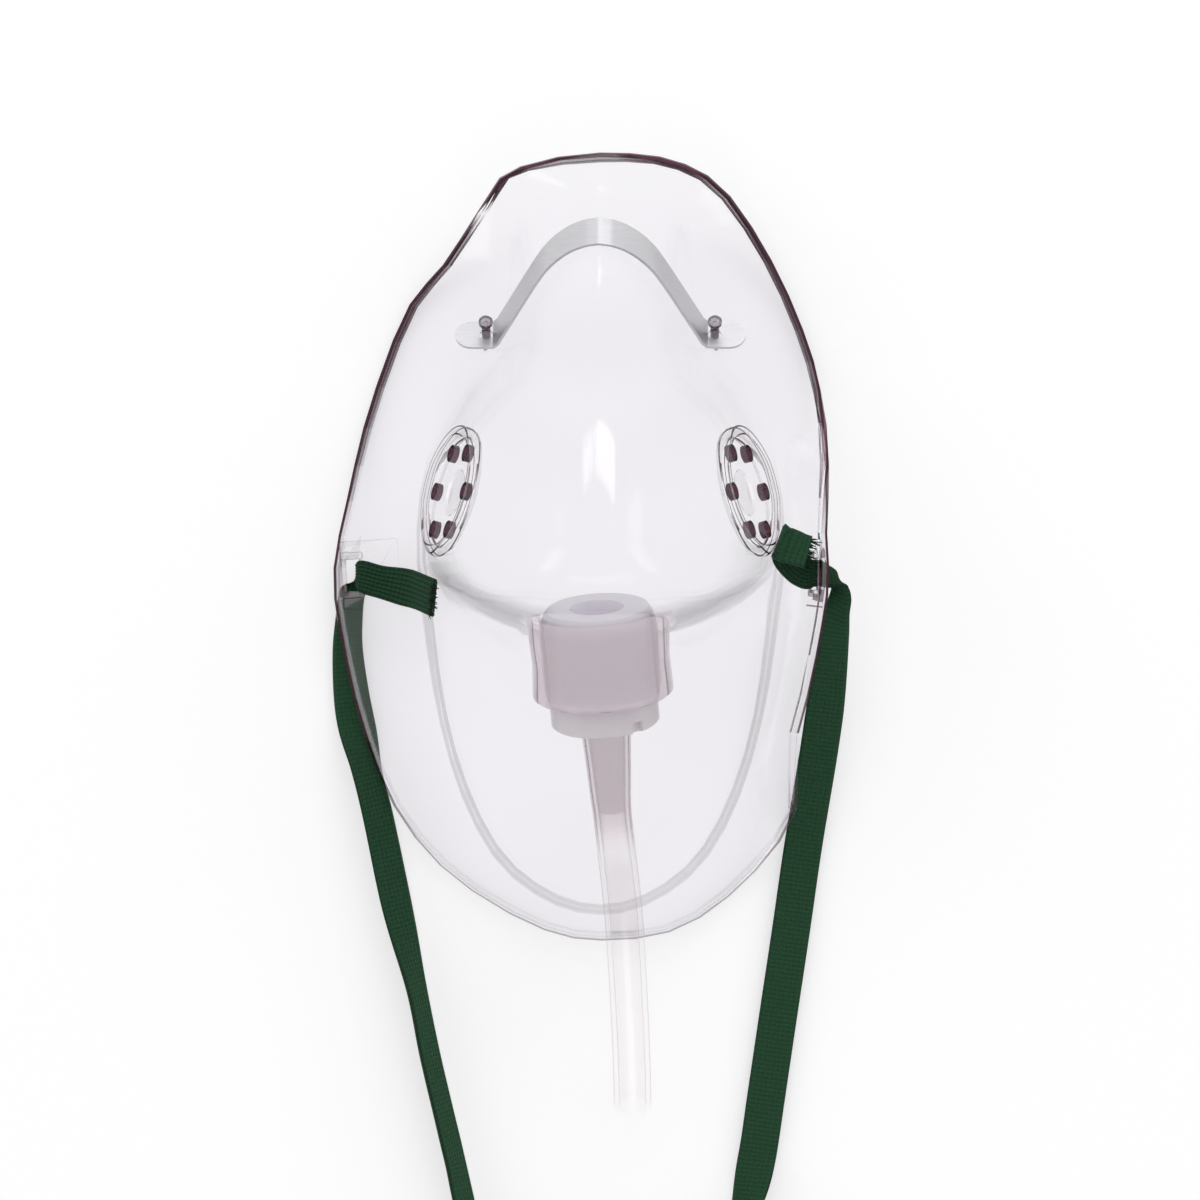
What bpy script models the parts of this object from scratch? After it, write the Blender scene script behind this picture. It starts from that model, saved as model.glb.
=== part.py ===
"""Oxygen face mask: clear moulded shell, nose clip, tube connector, tube and elastic strap.

Metres, +Z up. The mask lies on its rim with the nose dome up: nose bridge at +Y, chin and tube at -Y.
Outlines are given for the +X half and mirrored; the rim has one for each side. The +X flange is curled up.
"""
import math

import bmesh
import bpy
import numpy as np
from mathutils import Matrix, Vector
from mathutils.bvhtree import BVHTree

# Shell wall and rim
WALL = 0.0011
BEAD_RADIUS = 0.00095
SEAT_GAP = 0.0003
FRAME_SHIFT = Vector((0.0039, 0.0008, 0.0))
AROUND_STEPS = 60
NORMAL_PASSES = 4

# Half outlines from the nose bridge round to the chin: x, y, z
RIM_RIGHT = [
    (0.0, 0.0732, 0.0200), (0.0125, 0.0727, 0.0140), (0.0225, 0.0680, 0.0065), (0.0317, 0.0550, 0.0018),
    (0.0385, 0.0400, 0.0004), (0.0424, 0.0265, 0.0), (0.0470, 0.0100, 0.0018), (0.0506, -0.0050, 0.0040),
    (0.0488, -0.0185, 0.0040), (0.0440, -0.0345, 0.0030), (0.0374, -0.0505, 0.0020), (0.0271, -0.0640, 0.0),
    (0.0145, -0.0728, 0.0010), (0.0, -0.0748, 0.0020),
]
RIM_LEFT = [
    (0.0, 0.0732, 0.0200), (0.0161, 0.0708, 0.0140), (0.0218, 0.0650, 0.0065), (0.0293, 0.0541, 0.0018),
    (0.0367, 0.0448, 0.0004), (0.0438, 0.0263, 0.0), (0.0477, 0.0098, 0.0018), (0.0503, -0.0050, 0.0040),
    (0.0487, -0.0184, 0.0040), (0.0450, -0.0342, 0.0030), (0.0386, -0.0502, 0.0020), (0.0281, -0.0630, 0.0),
    (0.0123, -0.0723, 0.0010), (0.0, -0.0748, 0.0020),
]
FOOT = [
    (0.0, 0.0675, 0.0254), (0.0090, 0.0670, 0.0210), (0.0160, 0.0635, 0.0128), (0.0180, 0.0535, 0.0082),
    (0.0204, 0.0395, 0.0062), (0.0298, 0.0265, 0.0054), (0.0345, 0.0105, 0.0058), (0.0350, -0.0040, 0.0066),
    (0.0338, -0.0155, 0.0066), (0.0310, -0.0325, 0.0058), (0.0263, -0.0485, 0.0052), (0.0193, -0.0610, 0.0048),
    (0.0098, -0.0683, 0.0048), (0.0, -0.0707, 0.0052),
]
# Outline on which the nose dome stands; across the chin it is the foot of the shelf
DOME_FOOT = [
    (0.0, 0.0660, 0.0264), (0.0082, 0.0656, 0.0223), (0.0146, 0.0626, 0.0148), (0.0165, 0.0530, 0.0112),
    (0.0188, 0.0390, 0.0092), (0.0282, 0.0260, 0.0095), (0.0332, 0.0102, 0.0102), (0.0336, -0.0030, 0.0120),
    (0.0302, -0.0078, 0.0142), (0.0250, -0.0115, 0.0152), (0.0185, -0.0148, 0.0156), (0.0125, -0.0166, 0.0158),
    (0.0063, -0.0174, 0.0160), (0.0, -0.0176, 0.0160),
]
# For each of those places: y on the ridge that the dome runs up to, and how round the section is
RIDGE_Y = [0.0500, 0.0485, 0.0450, 0.0380, 0.0280, 0.0190, 0.0100, 0.0045, 0.0010] + [-0.0008] * 5
ROUNDNESS = [1.05, 1.08, 1.10, 1.10, 1.30, 1.80, 2.00, 2.10, 2.50] + [3.0] * 5
STEEPNESS = [1.0] * 7 + [1.05, 1.20] + [1.40] * 5
CHIN_SHARE = [0.0] * 7 + [0.15, 0.75] + [1.0] * 5

# Ridge of the nose dome
NOSE_TIP_Y = -0.0008
NOSE_TIP_Z = 0.0640
NOSE_TIP_RADIUS = 0.0130
RIDGE_START_ANGLE = math.radians(24.0)
RIDGE_SAG = 4.77

# Chin wall, as distance in from the foot and height over it
CHIN_WALL = [(0.0005, 0.0010), (0.0012, 0.0040), (0.0019, 0.0070), (0.0032, 0.0093), (0.0056, 0.0108)]
CHIN_TOP_SHARES = [0.30, 0.68, 1.0]
FLANGE_SHARES = [0.10, 0.28, 0.50, 0.76, 1.0]
DOME_SHARES = [0.985, 0.95, 0.90, 0.83, 0.74, 0.62, 0.48, 0.33, 0.17, 0.0]

# The curled stretch of flange on the +X side, in outline places
CURL_ANGLE = math.radians(75.0)
CURL_BEND_SHARE = 0.35
CURL_PLACES = (4.0, 6.7, 9.1, 10.7)

# Vents
VENT_X = 0.0290
VENT_Y = 0.0107
VENT_RADIUS = 0.0114
VENT_BEAD_RADIUS = 0.00125
VENT_PLATE = 0.0012
VENT_OPENING_MORE = 0.0004
VENT_SEATS = 16
VENT_HOLE_RADIUS = 0.0017
VENT_HOLE_CIRCLE = 0.0085
VENT_HOLES = 6
VENT_CENTRE_RADIUS = 0.0046
VENT_CENTRE_RISE = 0.0004

# Port collar: axis starts in the shelf and runs out and down
PORT_START = Vector((0.0, -0.0145, 0.0395))
PORT_DROP = math.radians(15.0)
PORT_YAW = math.radians(4.0)
COLLAR_RADIUS = 0.0130
COLLAR_WAIST_RADIUS = 0.0127
COLLAR_LENGTH = 0.0128
COLLAR_ROOT = -0.0100
COLLAR_SEAM = math.radians(2.0)
PORT_BORE_RADIUS = 0.0109

# Tube connector
PLUG_CLEARANCE = 0.0003
PLUG_INNER_END = -0.0037
PLUG_OUTER_END = 0.0185
PLUG_LIP_RADIUS = 0.0100
PLUG_LIP_START = 0.0138
PLUG_RECESS_RADIUS = 0.0050
PLUG_RECESS_DEPTH = 0.0030
PLUG_BORE_RADIUS = 0.0013
STEM_LENGTH = 0.0172
STEM_ROOT_RADIUS = 0.0034
STEM_TIP_RADIUS = 0.0023
NOTCH_WIDTH = 0.0022
NOTCH_DEPTH = 0.0022
NOTCH_ANGLE = math.radians(-38.0)

# Oxygen tube
TUBE_RADIUS = 0.0032
TUBE_BORE_RADIUS = 0.0022
TUBE_WALL = TUBE_RADIUS - TUBE_BORE_RADIUS
TUBE_ROUTE = [
    (0.0043, -0.0666, 0.0243), (0.0050, -0.0770, 0.0192), (0.0055, -0.0870, 0.0140),
    (0.0059, -0.0970, 0.0086), (0.0061, -0.1070, 0.0034),
]
TUBE_POINTS = 22
TUBE_SIDES = 12

# Nose clip
CLIP_WIDTH = 0.0063
CLIP_THICKNESS = 0.00055
CLIP_APEX_Y = 0.0580
CLIP_TILT = math.radians(37.0)
CLIP_FLAT_X = 0.0203
CLIP_TAB_RADIUS = CLIP_WIDTH / 2
CLIP_TAB_END_X = 0.0276
PIP_X = 0.0217
PIP_RADIUS = 0.00085
PIP_HEAD_RADIUS = 0.00135
PIP_HEAD_HEIGHT = 0.0017
PIP_HEAD_GAP = 0.0030
PIP_HOLE_CLEARANCE = 0.0004

# Strap tabs and slots, measured along the flange from the dome outwards
TAB_PLACE = 7.05
TAB_LENGTH = 0.0130
TAB_START_SHARE = 0.22
TAB_END_SHARE = 0.95
TAB_RISE = 0.0006
SLOT_SHARE = 0.80
SLOT_WIDTH = 0.0027
SLOT_LENGTH = 0.0060
LIP_WIDTH = 0.0014
LIP_RISE = 0.0012

# Elastic strap: flat band, centre line points from the left tail's end round to the right one's,
# each with the direction of the band's width
STRAP_WIDTH = 0.0064
STRAP_THICKNESS = 0.00095
STRAP_STEPS = 3
STRAP_SLOTS = ((-0.0473, -0.0055, 0.0058), (0.0409, -0.0050, 0.0163))
GATHERED_SHARE = 0.58
GATHER_START = 0.0050
GATHER_END = 0.0300
ACROSS = (0.0, 1.0, 0.0)
LEVEL = (1.0, 0.0, 0.0)
LEVEL_BACK = (-1.0, 0.0, 0.0)
LEANING = (0.76, 0.0, -0.65)
STANDING = (0.45, 0.0, -0.89)
UPRIGHT = (0.0, 0.0, -1.0)
LEFT_TAIL = [
    (-0.0320, -0.0097, 0.0166), (-0.0342, -0.0089, 0.0132), (-0.0365, -0.0081, 0.0093), (-0.0390, -0.0074, 0.0079),
    (-0.0425, -0.0066, 0.0078), (-0.0449, -0.0059, 0.0079), (-0.0464, -0.0056, 0.0077), (-0.0472, -0.0055, 0.0066),
    (-0.0474, -0.0055, 0.0050), (-0.0474, -0.0056, 0.0037),
]
LEFT_RUN = [
    (-0.0482, -0.0130, 0.0016), (-0.0485, -0.0205, 0.0015), (-0.0474, -0.0315, 0.0010),
]
LEFT_LEAN = [(-0.0455, -0.0426, 0.0008), (-0.0432, -0.0521, 0.0008), (-0.0397, -0.0688, 0.0008)]
LEFT_STAND = [
    (-0.0360, -0.0847, 0.0008), (-0.0334, -0.0976, 0.0012), (-0.0304, -0.1104, 0.0020), (-0.0286, -0.1180, 0.0016),
    (-0.0262, -0.1285, 0.0030),
]
LOOP = [
    (-0.0230, -0.1375, 0.0034), (-0.0145, -0.1475, 0.0034), (-0.0030, -0.1525, 0.0034),
    (0.0090, -0.1508, 0.0034), (0.0195, -0.1445, 0.0034), (0.0258, -0.1350, 0.0034),
]
RIGHT_RUN = [
    (0.0300, -0.1170, 0.0008), (0.0317, -0.1056, 0.0008), (0.0341, -0.0893, 0.0008), (0.0365, -0.0732, 0.0008),
    (0.0388, -0.0570, 0.0014), (0.0416, -0.0390, 0.0050), (0.0435, -0.0242, 0.0092), (0.0443, -0.0170, 0.0112),
]
RIGHT_TAIL = [
    ((0.04495, -0.0127, 0.0125), (-0.60, 0.0, -0.80)), ((0.04595, -0.0094, 0.0131), (-0.20, 0.05, -0.97)),
    ((0.04605, -0.0067, 0.0137), (0.0, 0.35, -0.94)), ((0.04495, -0.0054, 0.0144), (0.0, 0.65, -0.76)),
    ((0.04335, -0.0051, 0.0153), (0.0, 0.90, -0.43)), ((0.0421, -0.0050, 0.0160), ACROSS),
    ((0.0409, -0.0050, 0.0163), ACROSS), ((0.0397, -0.0050, 0.0166), ACROSS), ((0.0386, -0.0050, 0.0164), ACROSS),
    ((0.0374, -0.0044, 0.0155), (0.15, 0.98, 0.0)), ((0.0360, -0.0026, 0.0149), (0.40, 0.90, 0.0)),
    ((0.0354, -0.0007, 0.0155), (0.40, 0.90, 0.05)), ((0.0348, 0.0004, 0.0166), (0.36, 0.92, 0.0)),
    ((0.0346, 0.0008, 0.0180), (0.34, 0.93, 0.0)), ((0.0350, 0.0004, 0.0192), (0.32, 0.94, 0.0)),
    ((0.0361, 0.0, 0.0196), (0.28, 0.96, 0.0)), ((0.0374, -0.0005, 0.0194), (0.25, 0.97, 0.0)),
    ((0.0388, -0.0009, 0.0190), (0.20, 0.98, 0.0)),
]
STRAP_ROUTE = (
    [(point, ACROSS) for point in LEFT_TAIL]
    + [((-0.0475, -0.0063, 0.0024), (0.55, 0.80, -0.25)), ((-0.0478, -0.0088, 0.0018), (0.92, 0.35, -0.10))]
    + [(point, LEVEL) for point in LEFT_RUN]
    + [(point, LEANING) for point in LEFT_LEAN]
    + [(point, STANDING) for point in LEFT_STAND]
    + [(point, UPRIGHT) for point in LOOP]
    + [((0.0286, -0.1260, 0.0020), (-0.8, 0.0, -0.6))]
    + [(point, LEVEL_BACK) for point in RIGHT_RUN]
    + RIGHT_TAIL
)


def clear_scene():
    for obj in list(bpy.data.objects):
        bpy.data.objects.remove(obj, do_unlink=True)


def plain_material(name, colour, roughness, metallic=0.0, alpha=1.0):
    material = bpy.data.materials.new(name)
    material.use_nodes = True
    shader = material.node_tree.nodes["Principled BSDF"]
    shader.inputs["Base Color"].default_value = (*colour, 1.0)
    shader.inputs["Roughness"].default_value = roughness
    shader.inputs["Metallic"].default_value = metallic
    shader.inputs["Alpha"].default_value = alpha
    return material


def new_object(name, bm, material=None, sharp_angle=35.0):
    mesh = bpy.data.meshes.new(name)
    bmesh.ops.recalc_face_normals(bm, faces=bm.faces)
    bm.to_mesh(mesh)
    bm.free()
    mesh.shade_smooth()
    mesh.set_sharp_from_angle(angle=math.radians(sharp_angle))
    obj = bpy.data.objects.new(name, mesh)
    bpy.context.scene.collection.objects.link(obj)
    if material:
        mesh.materials.append(material)
    return obj


def hide_tool(obj):
    obj.hide_render = True
    obj.display_type = "WIRE"
    return obj


def boolean(obj, tool, operation):
    modifier = obj.modifiers.new(tool.name, "BOOLEAN")
    modifier.operation = operation
    modifier.solver = "EXACT"
    modifier.object = tool


def axis_frame(origin, axis, side=Vector((1.0, 0.0, 0.0))):
    """Frame with Z along the axis and X as near to side as it can be."""
    z = Vector(axis).normalized()
    x = (side - side.project(z)).normalized()
    y = z.cross(x)
    rotation = Matrix((x, y, z)).transposed()
    return Matrix.Translation(origin) @ rotation.to_4x4()


def loft(rings, close_ends=True):
    """Skin through closed rings of equal count, each ring extruded from the last."""
    bm = bmesh.new()
    first = [bm.verts.new(p) for p in rings[0]]
    edges = [bm.edges.new((first[i], first[(i + 1) % len(first)])) for i in range(len(first))]
    if close_ends:
        bm.faces.new(list(reversed(first)))
    for ring in rings[1:]:
        grown = bmesh.ops.extrude_edge_only(bm, edges=edges)["geom"]
        fresh = {v for v in grown if isinstance(v, bmesh.types.BMVert)}
        follow = {}
        for edge in edges:
            for vert in edge.verts:
                if vert not in follow:
                    follow[vert] = next(e.other_vert(vert) for e in vert.link_edges
                                        if e.other_vert(vert) in fresh)
        first = [follow[v] for v in first]
        edges = [bm.edges.get((first[i], first[(i + 1) % len(first)])) for i in range(len(first))]
        for vert, point in zip(first, ring):
            vert.co = point
    if close_ends:
        bm.faces.new(first)
    return bm


def turned(profile, frame, steps=40):
    """Solid of revolution from (radius, height) points about the frame's Z axis."""
    bm = bmesh.new()
    closed = profile + [profile[0]]
    verts = [bm.verts.new((r, 0.0, z)) for r, z in profile]
    loop = verts + [verts[0]] if closed[0][0] > 0.0 else verts
    edges = [bm.edges.new((a, b)) for a, b in zip(loop, loop[1:])]
    bmesh.ops.spin(bm, geom=verts + edges, cent=(0, 0, 0), axis=(0, 0, 1), angle=2 * math.pi, steps=steps,
                   use_merge=True)
    bmesh.ops.remove_doubles(bm, verts=bm.verts, dist=1e-6)
    bmesh.ops.transform(bm, matrix=frame, verts=bm.verts)
    return bm


def place_rows(rows, places):
    """Smooth curve through the half outline's points, read at the given places along it."""
    rows = np.array(rows, dtype=float)
    if rows.ndim == 1:
        rows = rows[:, None]
    mirror = np.ones(rows.shape[1])
    if rows.shape[1] == 3:
        mirror[0] = -1.0
    padded = np.vstack([rows[1] * mirror, rows, rows[-2] * mirror])
    index = np.clip(np.floor(places).astype(int), 0, len(rows) - 2)
    u = (places - index)[:, None]
    a, b, c, d = (padded[index + k] for k in range(4))
    return 0.5 * (2 * b + (c - a) * u + (2 * a - 5 * b + 4 * c - d) * u ** 2 + (3 * b - a - 3 * c + d) * u ** 3)


def smooth_step(value, start, end):
    share = np.clip((value - start) / (end - start), 0.0, 1.0)
    return share * share * (3.0 - 2.0 * share)


def ridge_height(y):
    """Height of the nose ridge: a round tip, then a soft arc down to the bridge."""
    angle = RIDGE_START_ANGLE
    start_y = NOSE_TIP_Y + NOSE_TIP_RADIUS * math.sin(angle)
    start_z = NOSE_TIP_Z - NOSE_TIP_RADIUS * (1.0 - math.cos(angle))
    run = np.maximum(y - start_y, 0.0)
    arc = start_z - math.tan(angle) * run - RIDGE_SAG * run ** 2 / 2.0
    near = np.clip(y - NOSE_TIP_Y, -NOSE_TIP_RADIUS, NOSE_TIP_RADIUS)
    tip = NOSE_TIP_Z - NOSE_TIP_RADIUS + np.sqrt(NOSE_TIP_RADIUS ** 2 - near ** 2)
    return np.where(y > start_y, arc, tip)


def curl_at(places, side):
    rise = smooth_step(places, CURL_PLACES[0], CURL_PLACES[1])
    fall = 1.0 - smooth_step(places, CURL_PLACES[2], CURL_PLACES[3])
    return np.where(side > 0, CURL_ANGLE * rise * fall, 0.0)


def flange_points(foot, rim, share, curl):
    """Points on the flange at a share of the way out, bent up near the foot and straight beyond."""
    out = rim - foot
    drop = out[:, 2].copy()
    out[:, 2] = 0.0
    length = np.linalg.norm(out, axis=1)
    out = out / length[:, None]
    bend = np.maximum(curl, 1e-4)
    turn = bend * min(share / CURL_BEND_SHARE, 1.0)
    rate = bend / CURL_BEND_SHARE
    straight = max(share - CURL_BEND_SHARE, 0.0)
    along = (np.sin(turn) / rate + straight * np.cos(bend)) * length
    up = ((1.0 - np.cos(turn)) / rate + straight * np.sin(bend)) * length + drop * share * np.cos(curl)
    points = foot + out * along[:, None]
    points[:, 2] += up
    return points


class Skin:
    """Outer surface of the moulding as rings, from the ridge of the nose dome out to the rim."""

    def __init__(self, steps):
        half = steps // 2
        last = len(FOOT) - 1
        right = np.linspace(0.0, last, half + 1)
        self.places = np.concatenate([right, right[-2:0:-1]])
        self.side = np.concatenate([np.ones(half + 1), -np.ones(half - 1)])
        self.side[0] = self.side[half] = 0.0
        flip = np.where(self.side < 0, -1.0, 1.0)

        def both(rows):
            points = place_rows(rows, self.places)
            if points.shape[1] == 3:
                points[:, 0] *= flip
            return points

        rim = np.where((self.side < 0)[:, None], both(RIM_LEFT), both(RIM_RIGHT))
        rim[:, 2] += BEAD_RADIUS + WALL / 2
        self.rim = rim
        self.foot = both(FOOT)
        self.dome_foot = both(DOME_FOOT)
        self.ridge_y = np.maximum(both(RIDGE_Y)[:, 0], NOSE_TIP_Y)
        self.power = both(ROUNDNESS)[:, 0]
        self.root = 1.0 / both(STEEPNESS)[:, 0]
        self.chin = both(CHIN_SHARE)[:, 0]
        self.curl = curl_at(self.places, self.side)
        rings = self.dome_rings() + self.wall_rings() + self.flange_rings()
        self.outer = np.array(rings)
        self.soften(len(DOME_SHARES), 2)
        self.normals = self.surface_normals()
        self.inner = self.outer - self.normals * WALL
        self.bead = self.bead_rings()
        self.settle = min(ring[:, 2].min() for ring in self.bead)
        for block in [self.outer, self.inner, *self.bead]:
            block[..., 2] -= self.settle

    def dome_rings(self):
        """From the ridge down to the dome's foot, along curves that end steep."""
        top = np.stack([np.zeros_like(self.ridge_y), self.ridge_y, ridge_height(self.ridge_y)], axis=1)
        rings = []
        for share in reversed(DOME_SHARES):
            plan = top + (self.dome_foot - top) * share
            rise = (1.0 - share ** self.power) ** self.root
            plan[:, 2] = self.dome_foot[:, 2] + (top[:, 2] - self.dome_foot[:, 2]) * rise
            rings.append(plan)
        return rings

    def wall_rings(self):
        """Between the dome's foot and the flange: the flat chin top and the chin wall."""
        reach = self.dome_foot - self.foot
        plan_reach = np.linalg.norm(reach[:, :2], axis=1)
        wall_in, wall_up = CHIN_WALL[-1]
        count = len(CHIN_WALL) + len(CHIN_TOP_SHARES)
        rings = []
        for step in range(count, 0, -1):
            even = step / count
            if step > len(CHIN_WALL):
                share = CHIN_TOP_SHARES[step - len(CHIN_WALL) - 1]
                inward = wall_in + (plan_reach - wall_in) * share
                up = wall_up + (reach[:, 2] - wall_up) * math.sin(share * math.pi / 2)
            else:
                inward, up = CHIN_WALL[step - 1]
            chin_plan = np.minimum(inward / plan_reach, even)
            plan_share = self.chin * chin_plan + (1.0 - self.chin) * even
            ring = self.foot + reach * plan_share[:, None]
            side_up = reach[:, 2] * even
            ring[:, 2] = self.foot[:, 2] + self.chin * up + (1.0 - self.chin) * side_up
            rings.append(ring)
        return rings

    def flange_rings(self):
        rings = [self.foot.copy()]
        for share in FLANGE_SHARES:
            rings.append(flange_points(self.foot, self.rim, share, self.curl))
        return rings

    def soften(self, ring, passes):
        """Round the line where the shelf meets the chin."""
        for _ in range(passes):
            block = self.outer[ring - 3:ring + 3]
            block[1:-1] = (block[:-2] + 2.0 * block[1:-1] + block[2:]) / 4.0

    def surface_normals(self):
        around = np.roll(self.outer, -1, axis=1) - np.roll(self.outer, 1, axis=1)
        outward = np.gradient(self.outer, axis=0)
        normals = np.cross(around, outward)
        step = WALL / 10
        slope = (ridge_height(self.ridge_y + step) - ridge_height(self.ridge_y - step)) / (2 * step)
        normals[0] = np.stack([0.0 * slope, -slope, 1.0 + 0.0 * slope], axis=1)
        normals /= np.linalg.norm(normals, axis=2)[..., None]
        for _ in range(NORMAL_PASSES):
            even = normals + np.roll(normals, 1, axis=1) + np.roll(normals, -1, axis=1)
            normals[1:-1] = even[1:-1] + even[:-2] + even[2:]
            normals /= np.linalg.norm(normals, axis=2)[..., None]
        return normals

    def bead_rings(self):
        """Round bead along the flange edge."""
        normal = self.normals[-1]
        centre = self.outer[-1] - normal * WALL / 2
        out = self.outer[-1] - self.outer[-2]
        out /= np.linalg.norm(out, axis=1)[:, None]
        rings = []
        for degrees in (125, 80, 35, -10, -55, -90, -125):
            angle = math.radians(degrees)
            rings.append(centre + BEAD_RADIUS * (math.cos(angle) * out + math.sin(angle) * normal))
        return rings

    def hollow_rings(self):
        """The space under the dome, out to the middle of the wall and on down below the flange."""
        count = len(DOME_SHARES) + 6
        rings = list((self.outer - self.normals * WALL * 0.55)[:count])
        mouth = rings[-1].copy()
        mouth[:, 2] = -0.01
        return rings + [mouth]

    def flange_frame(self, side, share):
        """Frame on the flange at the strap tab: X outwards, Y towards the nose, Z up out of it."""
        places = np.array([TAB_PLACE])
        sides = np.array([float(side)])
        foot = place_rows(FOOT, places)
        rim = place_rows(RIM_RIGHT if side > 0 else RIM_LEFT, places)
        rim[:, 2] += BEAD_RADIUS + WALL / 2
        foot[:, 0] *= side
        rim[:, 0] *= side
        curl = curl_at(places, sides)
        point = flange_points(foot, rim, share, curl)[0]
        further = flange_points(foot, rim, share + 0.02, curl)[0]
        point[2] -= self.settle
        further[2] -= self.settle
        x = Vector(further - point).normalized()
        nose = Vector((0.0, 1.0, 0.0))
        y = (nose - nose.project(x)).normalized()
        z = x.cross(y) * side
        rotation = Matrix((x, y, z)).transposed()
        return Matrix.Translation(Vector(point)) @ rotation.to_4x4()


def port_frame(distance):
    """Frame on the port axis, that far out from its start; Z runs out of the mask, Y up."""
    level = math.cos(PORT_DROP)
    axis = Vector((math.sin(PORT_YAW) * level, -math.cos(PORT_YAW) * level, -math.sin(PORT_DROP)))
    return axis_frame(PORT_START + axis * distance, axis)


def add_box(bm, frame, size, centre=(0.0, 0.0, 0.0), bevel=0.0):
    made = bmesh.ops.create_cube(bm, size=1.0)["verts"]
    scale = Matrix.Diagonal((*size, 1.0))
    bmesh.ops.transform(bm, matrix=frame @ Matrix.Translation(centre) @ scale, verts=made)
    if bevel:
        edges = list({e for v in made for e in v.link_edges})
        bmesh.ops.bevel(bm, geom=edges, offset=bevel, affect="EDGES", segments=2, profile=0.5, material=-1)


def add_cylinder(bm, frame, radius, low, high, sides=20, end_radius=None):
    made = bmesh.ops.create_cone(bm, cap_ends=True, segments=sides, radius1=radius,
                                 radius2=radius if end_radius is None else end_radius,
                                 depth=high - low)["verts"]
    bmesh.ops.transform(bm, matrix=frame @ Matrix.Translation((0, 0, (low + high) / 2)), verts=made)


def surface_point(tree, x, y):
    hit, normal, _, _ = tree.ray_cast(Vector((x, y, 1.0)), Vector((0, 0, -1)))
    return hit, normal


def vent_frame(tree, side):
    """Frame of a vent: its plane lies in the wall at the middle of its edge's highs and lows."""
    point, normal = surface_point(tree, VENT_X * side, VENT_Y)
    flat = axis_frame(point, normal, Vector((0, 1, 0)))
    depths = []
    for step in range(VENT_SEATS):
        turn = 2 * math.pi * step / VENT_SEATS
        start = flat @ Vector((VENT_RADIUS * math.cos(turn), VENT_RADIUS * math.sin(turn), 0.01))
        hit, _, _, _ = tree.ray_cast(start, -normal)
        depths.append((flat.inverted() @ hit).z)
    middle = (max(depths) + min(depths)) / 2
    return flat @ Matrix.Translation((0, 0, middle - WALL / 2))


def build_shell(skin, material):
    rings = list(skin.outer) + skin.bead + list(skin.inner[::-1])
    bm = loft(rings, close_ends=False)
    bmesh.ops.remove_doubles(bm, verts=bm.verts, dist=1e-6)
    bmesh.ops.dissolve_degenerate(bm, edges=bm.edges, dist=1e-6)
    tree = BVHTree.FromBMesh(bm)
    shell = new_object("mask_shell", bm, material, 40.0)

    openings = bmesh.new()
    for side in (1, -1):
        add_cylinder(openings, vent_frame(tree, side), VENT_RADIUS + VENT_OPENING_MORE, -0.006, 0.006, 32)
    boolean(shell, hide_tool(new_object("vent_openings", openings)), "DIFFERENCE")

    hollow = loft(skin.hollow_rings(), close_ends=False)
    bmesh.ops.remove_doubles(hollow, verts=hollow.verts, dist=1e-6)
    bmesh.ops.holes_fill(hollow, edges=[e for e in hollow.edges if e.is_boundary])
    hollow = hide_tool(new_object("dome_hollow", hollow))

    collar = turned([
        (0.0, COLLAR_ROOT), (COLLAR_RADIUS, COLLAR_ROOT), (COLLAR_RADIUS, 0.0012),
        (COLLAR_WAIST_RADIUS, COLLAR_LENGTH * 0.45), (COLLAR_RADIUS, COLLAR_LENGTH - 0.0012),
        (COLLAR_RADIUS, COLLAR_LENGTH - 0.0004), (COLLAR_RADIUS - 0.0004, COLLAR_LENGTH), (0.0, COLLAR_LENGTH),
    ], port_frame(0.0) @ Matrix.Rotation(COLLAR_SEAM, 4, "Z"), 48)
    collar = hide_tool(new_object("port_collar", collar))
    boolean(collar, hollow, "DIFFERENCE")
    boolean(shell, collar, "UNION")

    vents, tabs, lips, pips = (bmesh.new() for _ in range(4))
    for side in (1, -1):
        add_vent(vents, vent_frame(tree, side))
        add_tab(tabs, skin, side)
        add_slot_lips(lips, skin, side)
        add_pip(pips, tree, side)
    tabs = hide_tool(new_object("strap_tabs", tabs))
    boolean(tabs, hide_tool(new_object("slot_lips", lips)), "UNION")
    boolean(shell, hide_tool(new_object("vents", vents)), "UNION")
    boolean(shell, tabs, "UNION")
    boolean(shell, hide_tool(new_object("clip_studs", pips)), "UNION")

    cuts = bmesh.new()
    add_cylinder(cuts, port_frame(0.0), PORT_BORE_RADIUS, COLLAR_ROOT - 0.004, COLLAR_LENGTH + 0.004, 40)
    for side in (1, -1):
        frame = vent_frame(tree, side)
        for hole in range(VENT_HOLES):
            turn = Matrix.Rotation(2 * math.pi * (hole + 0.5) / VENT_HOLES, 4, "Z")
            spot = frame @ turn @ Matrix.Translation((VENT_HOLE_CIRCLE, 0, 0))
            add_cylinder(cuts, spot, VENT_HOLE_RADIUS, -0.005, 0.005, 14)
        slot = skin.flange_frame(side, SLOT_SHARE)
        add_box(cuts, slot, (SLOT_WIDTH, SLOT_LENGTH, 0.012))
    boolean(shell, hide_tool(new_object("shell_cuts", cuts)), "DIFFERENCE")
    return shell, tree


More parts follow.
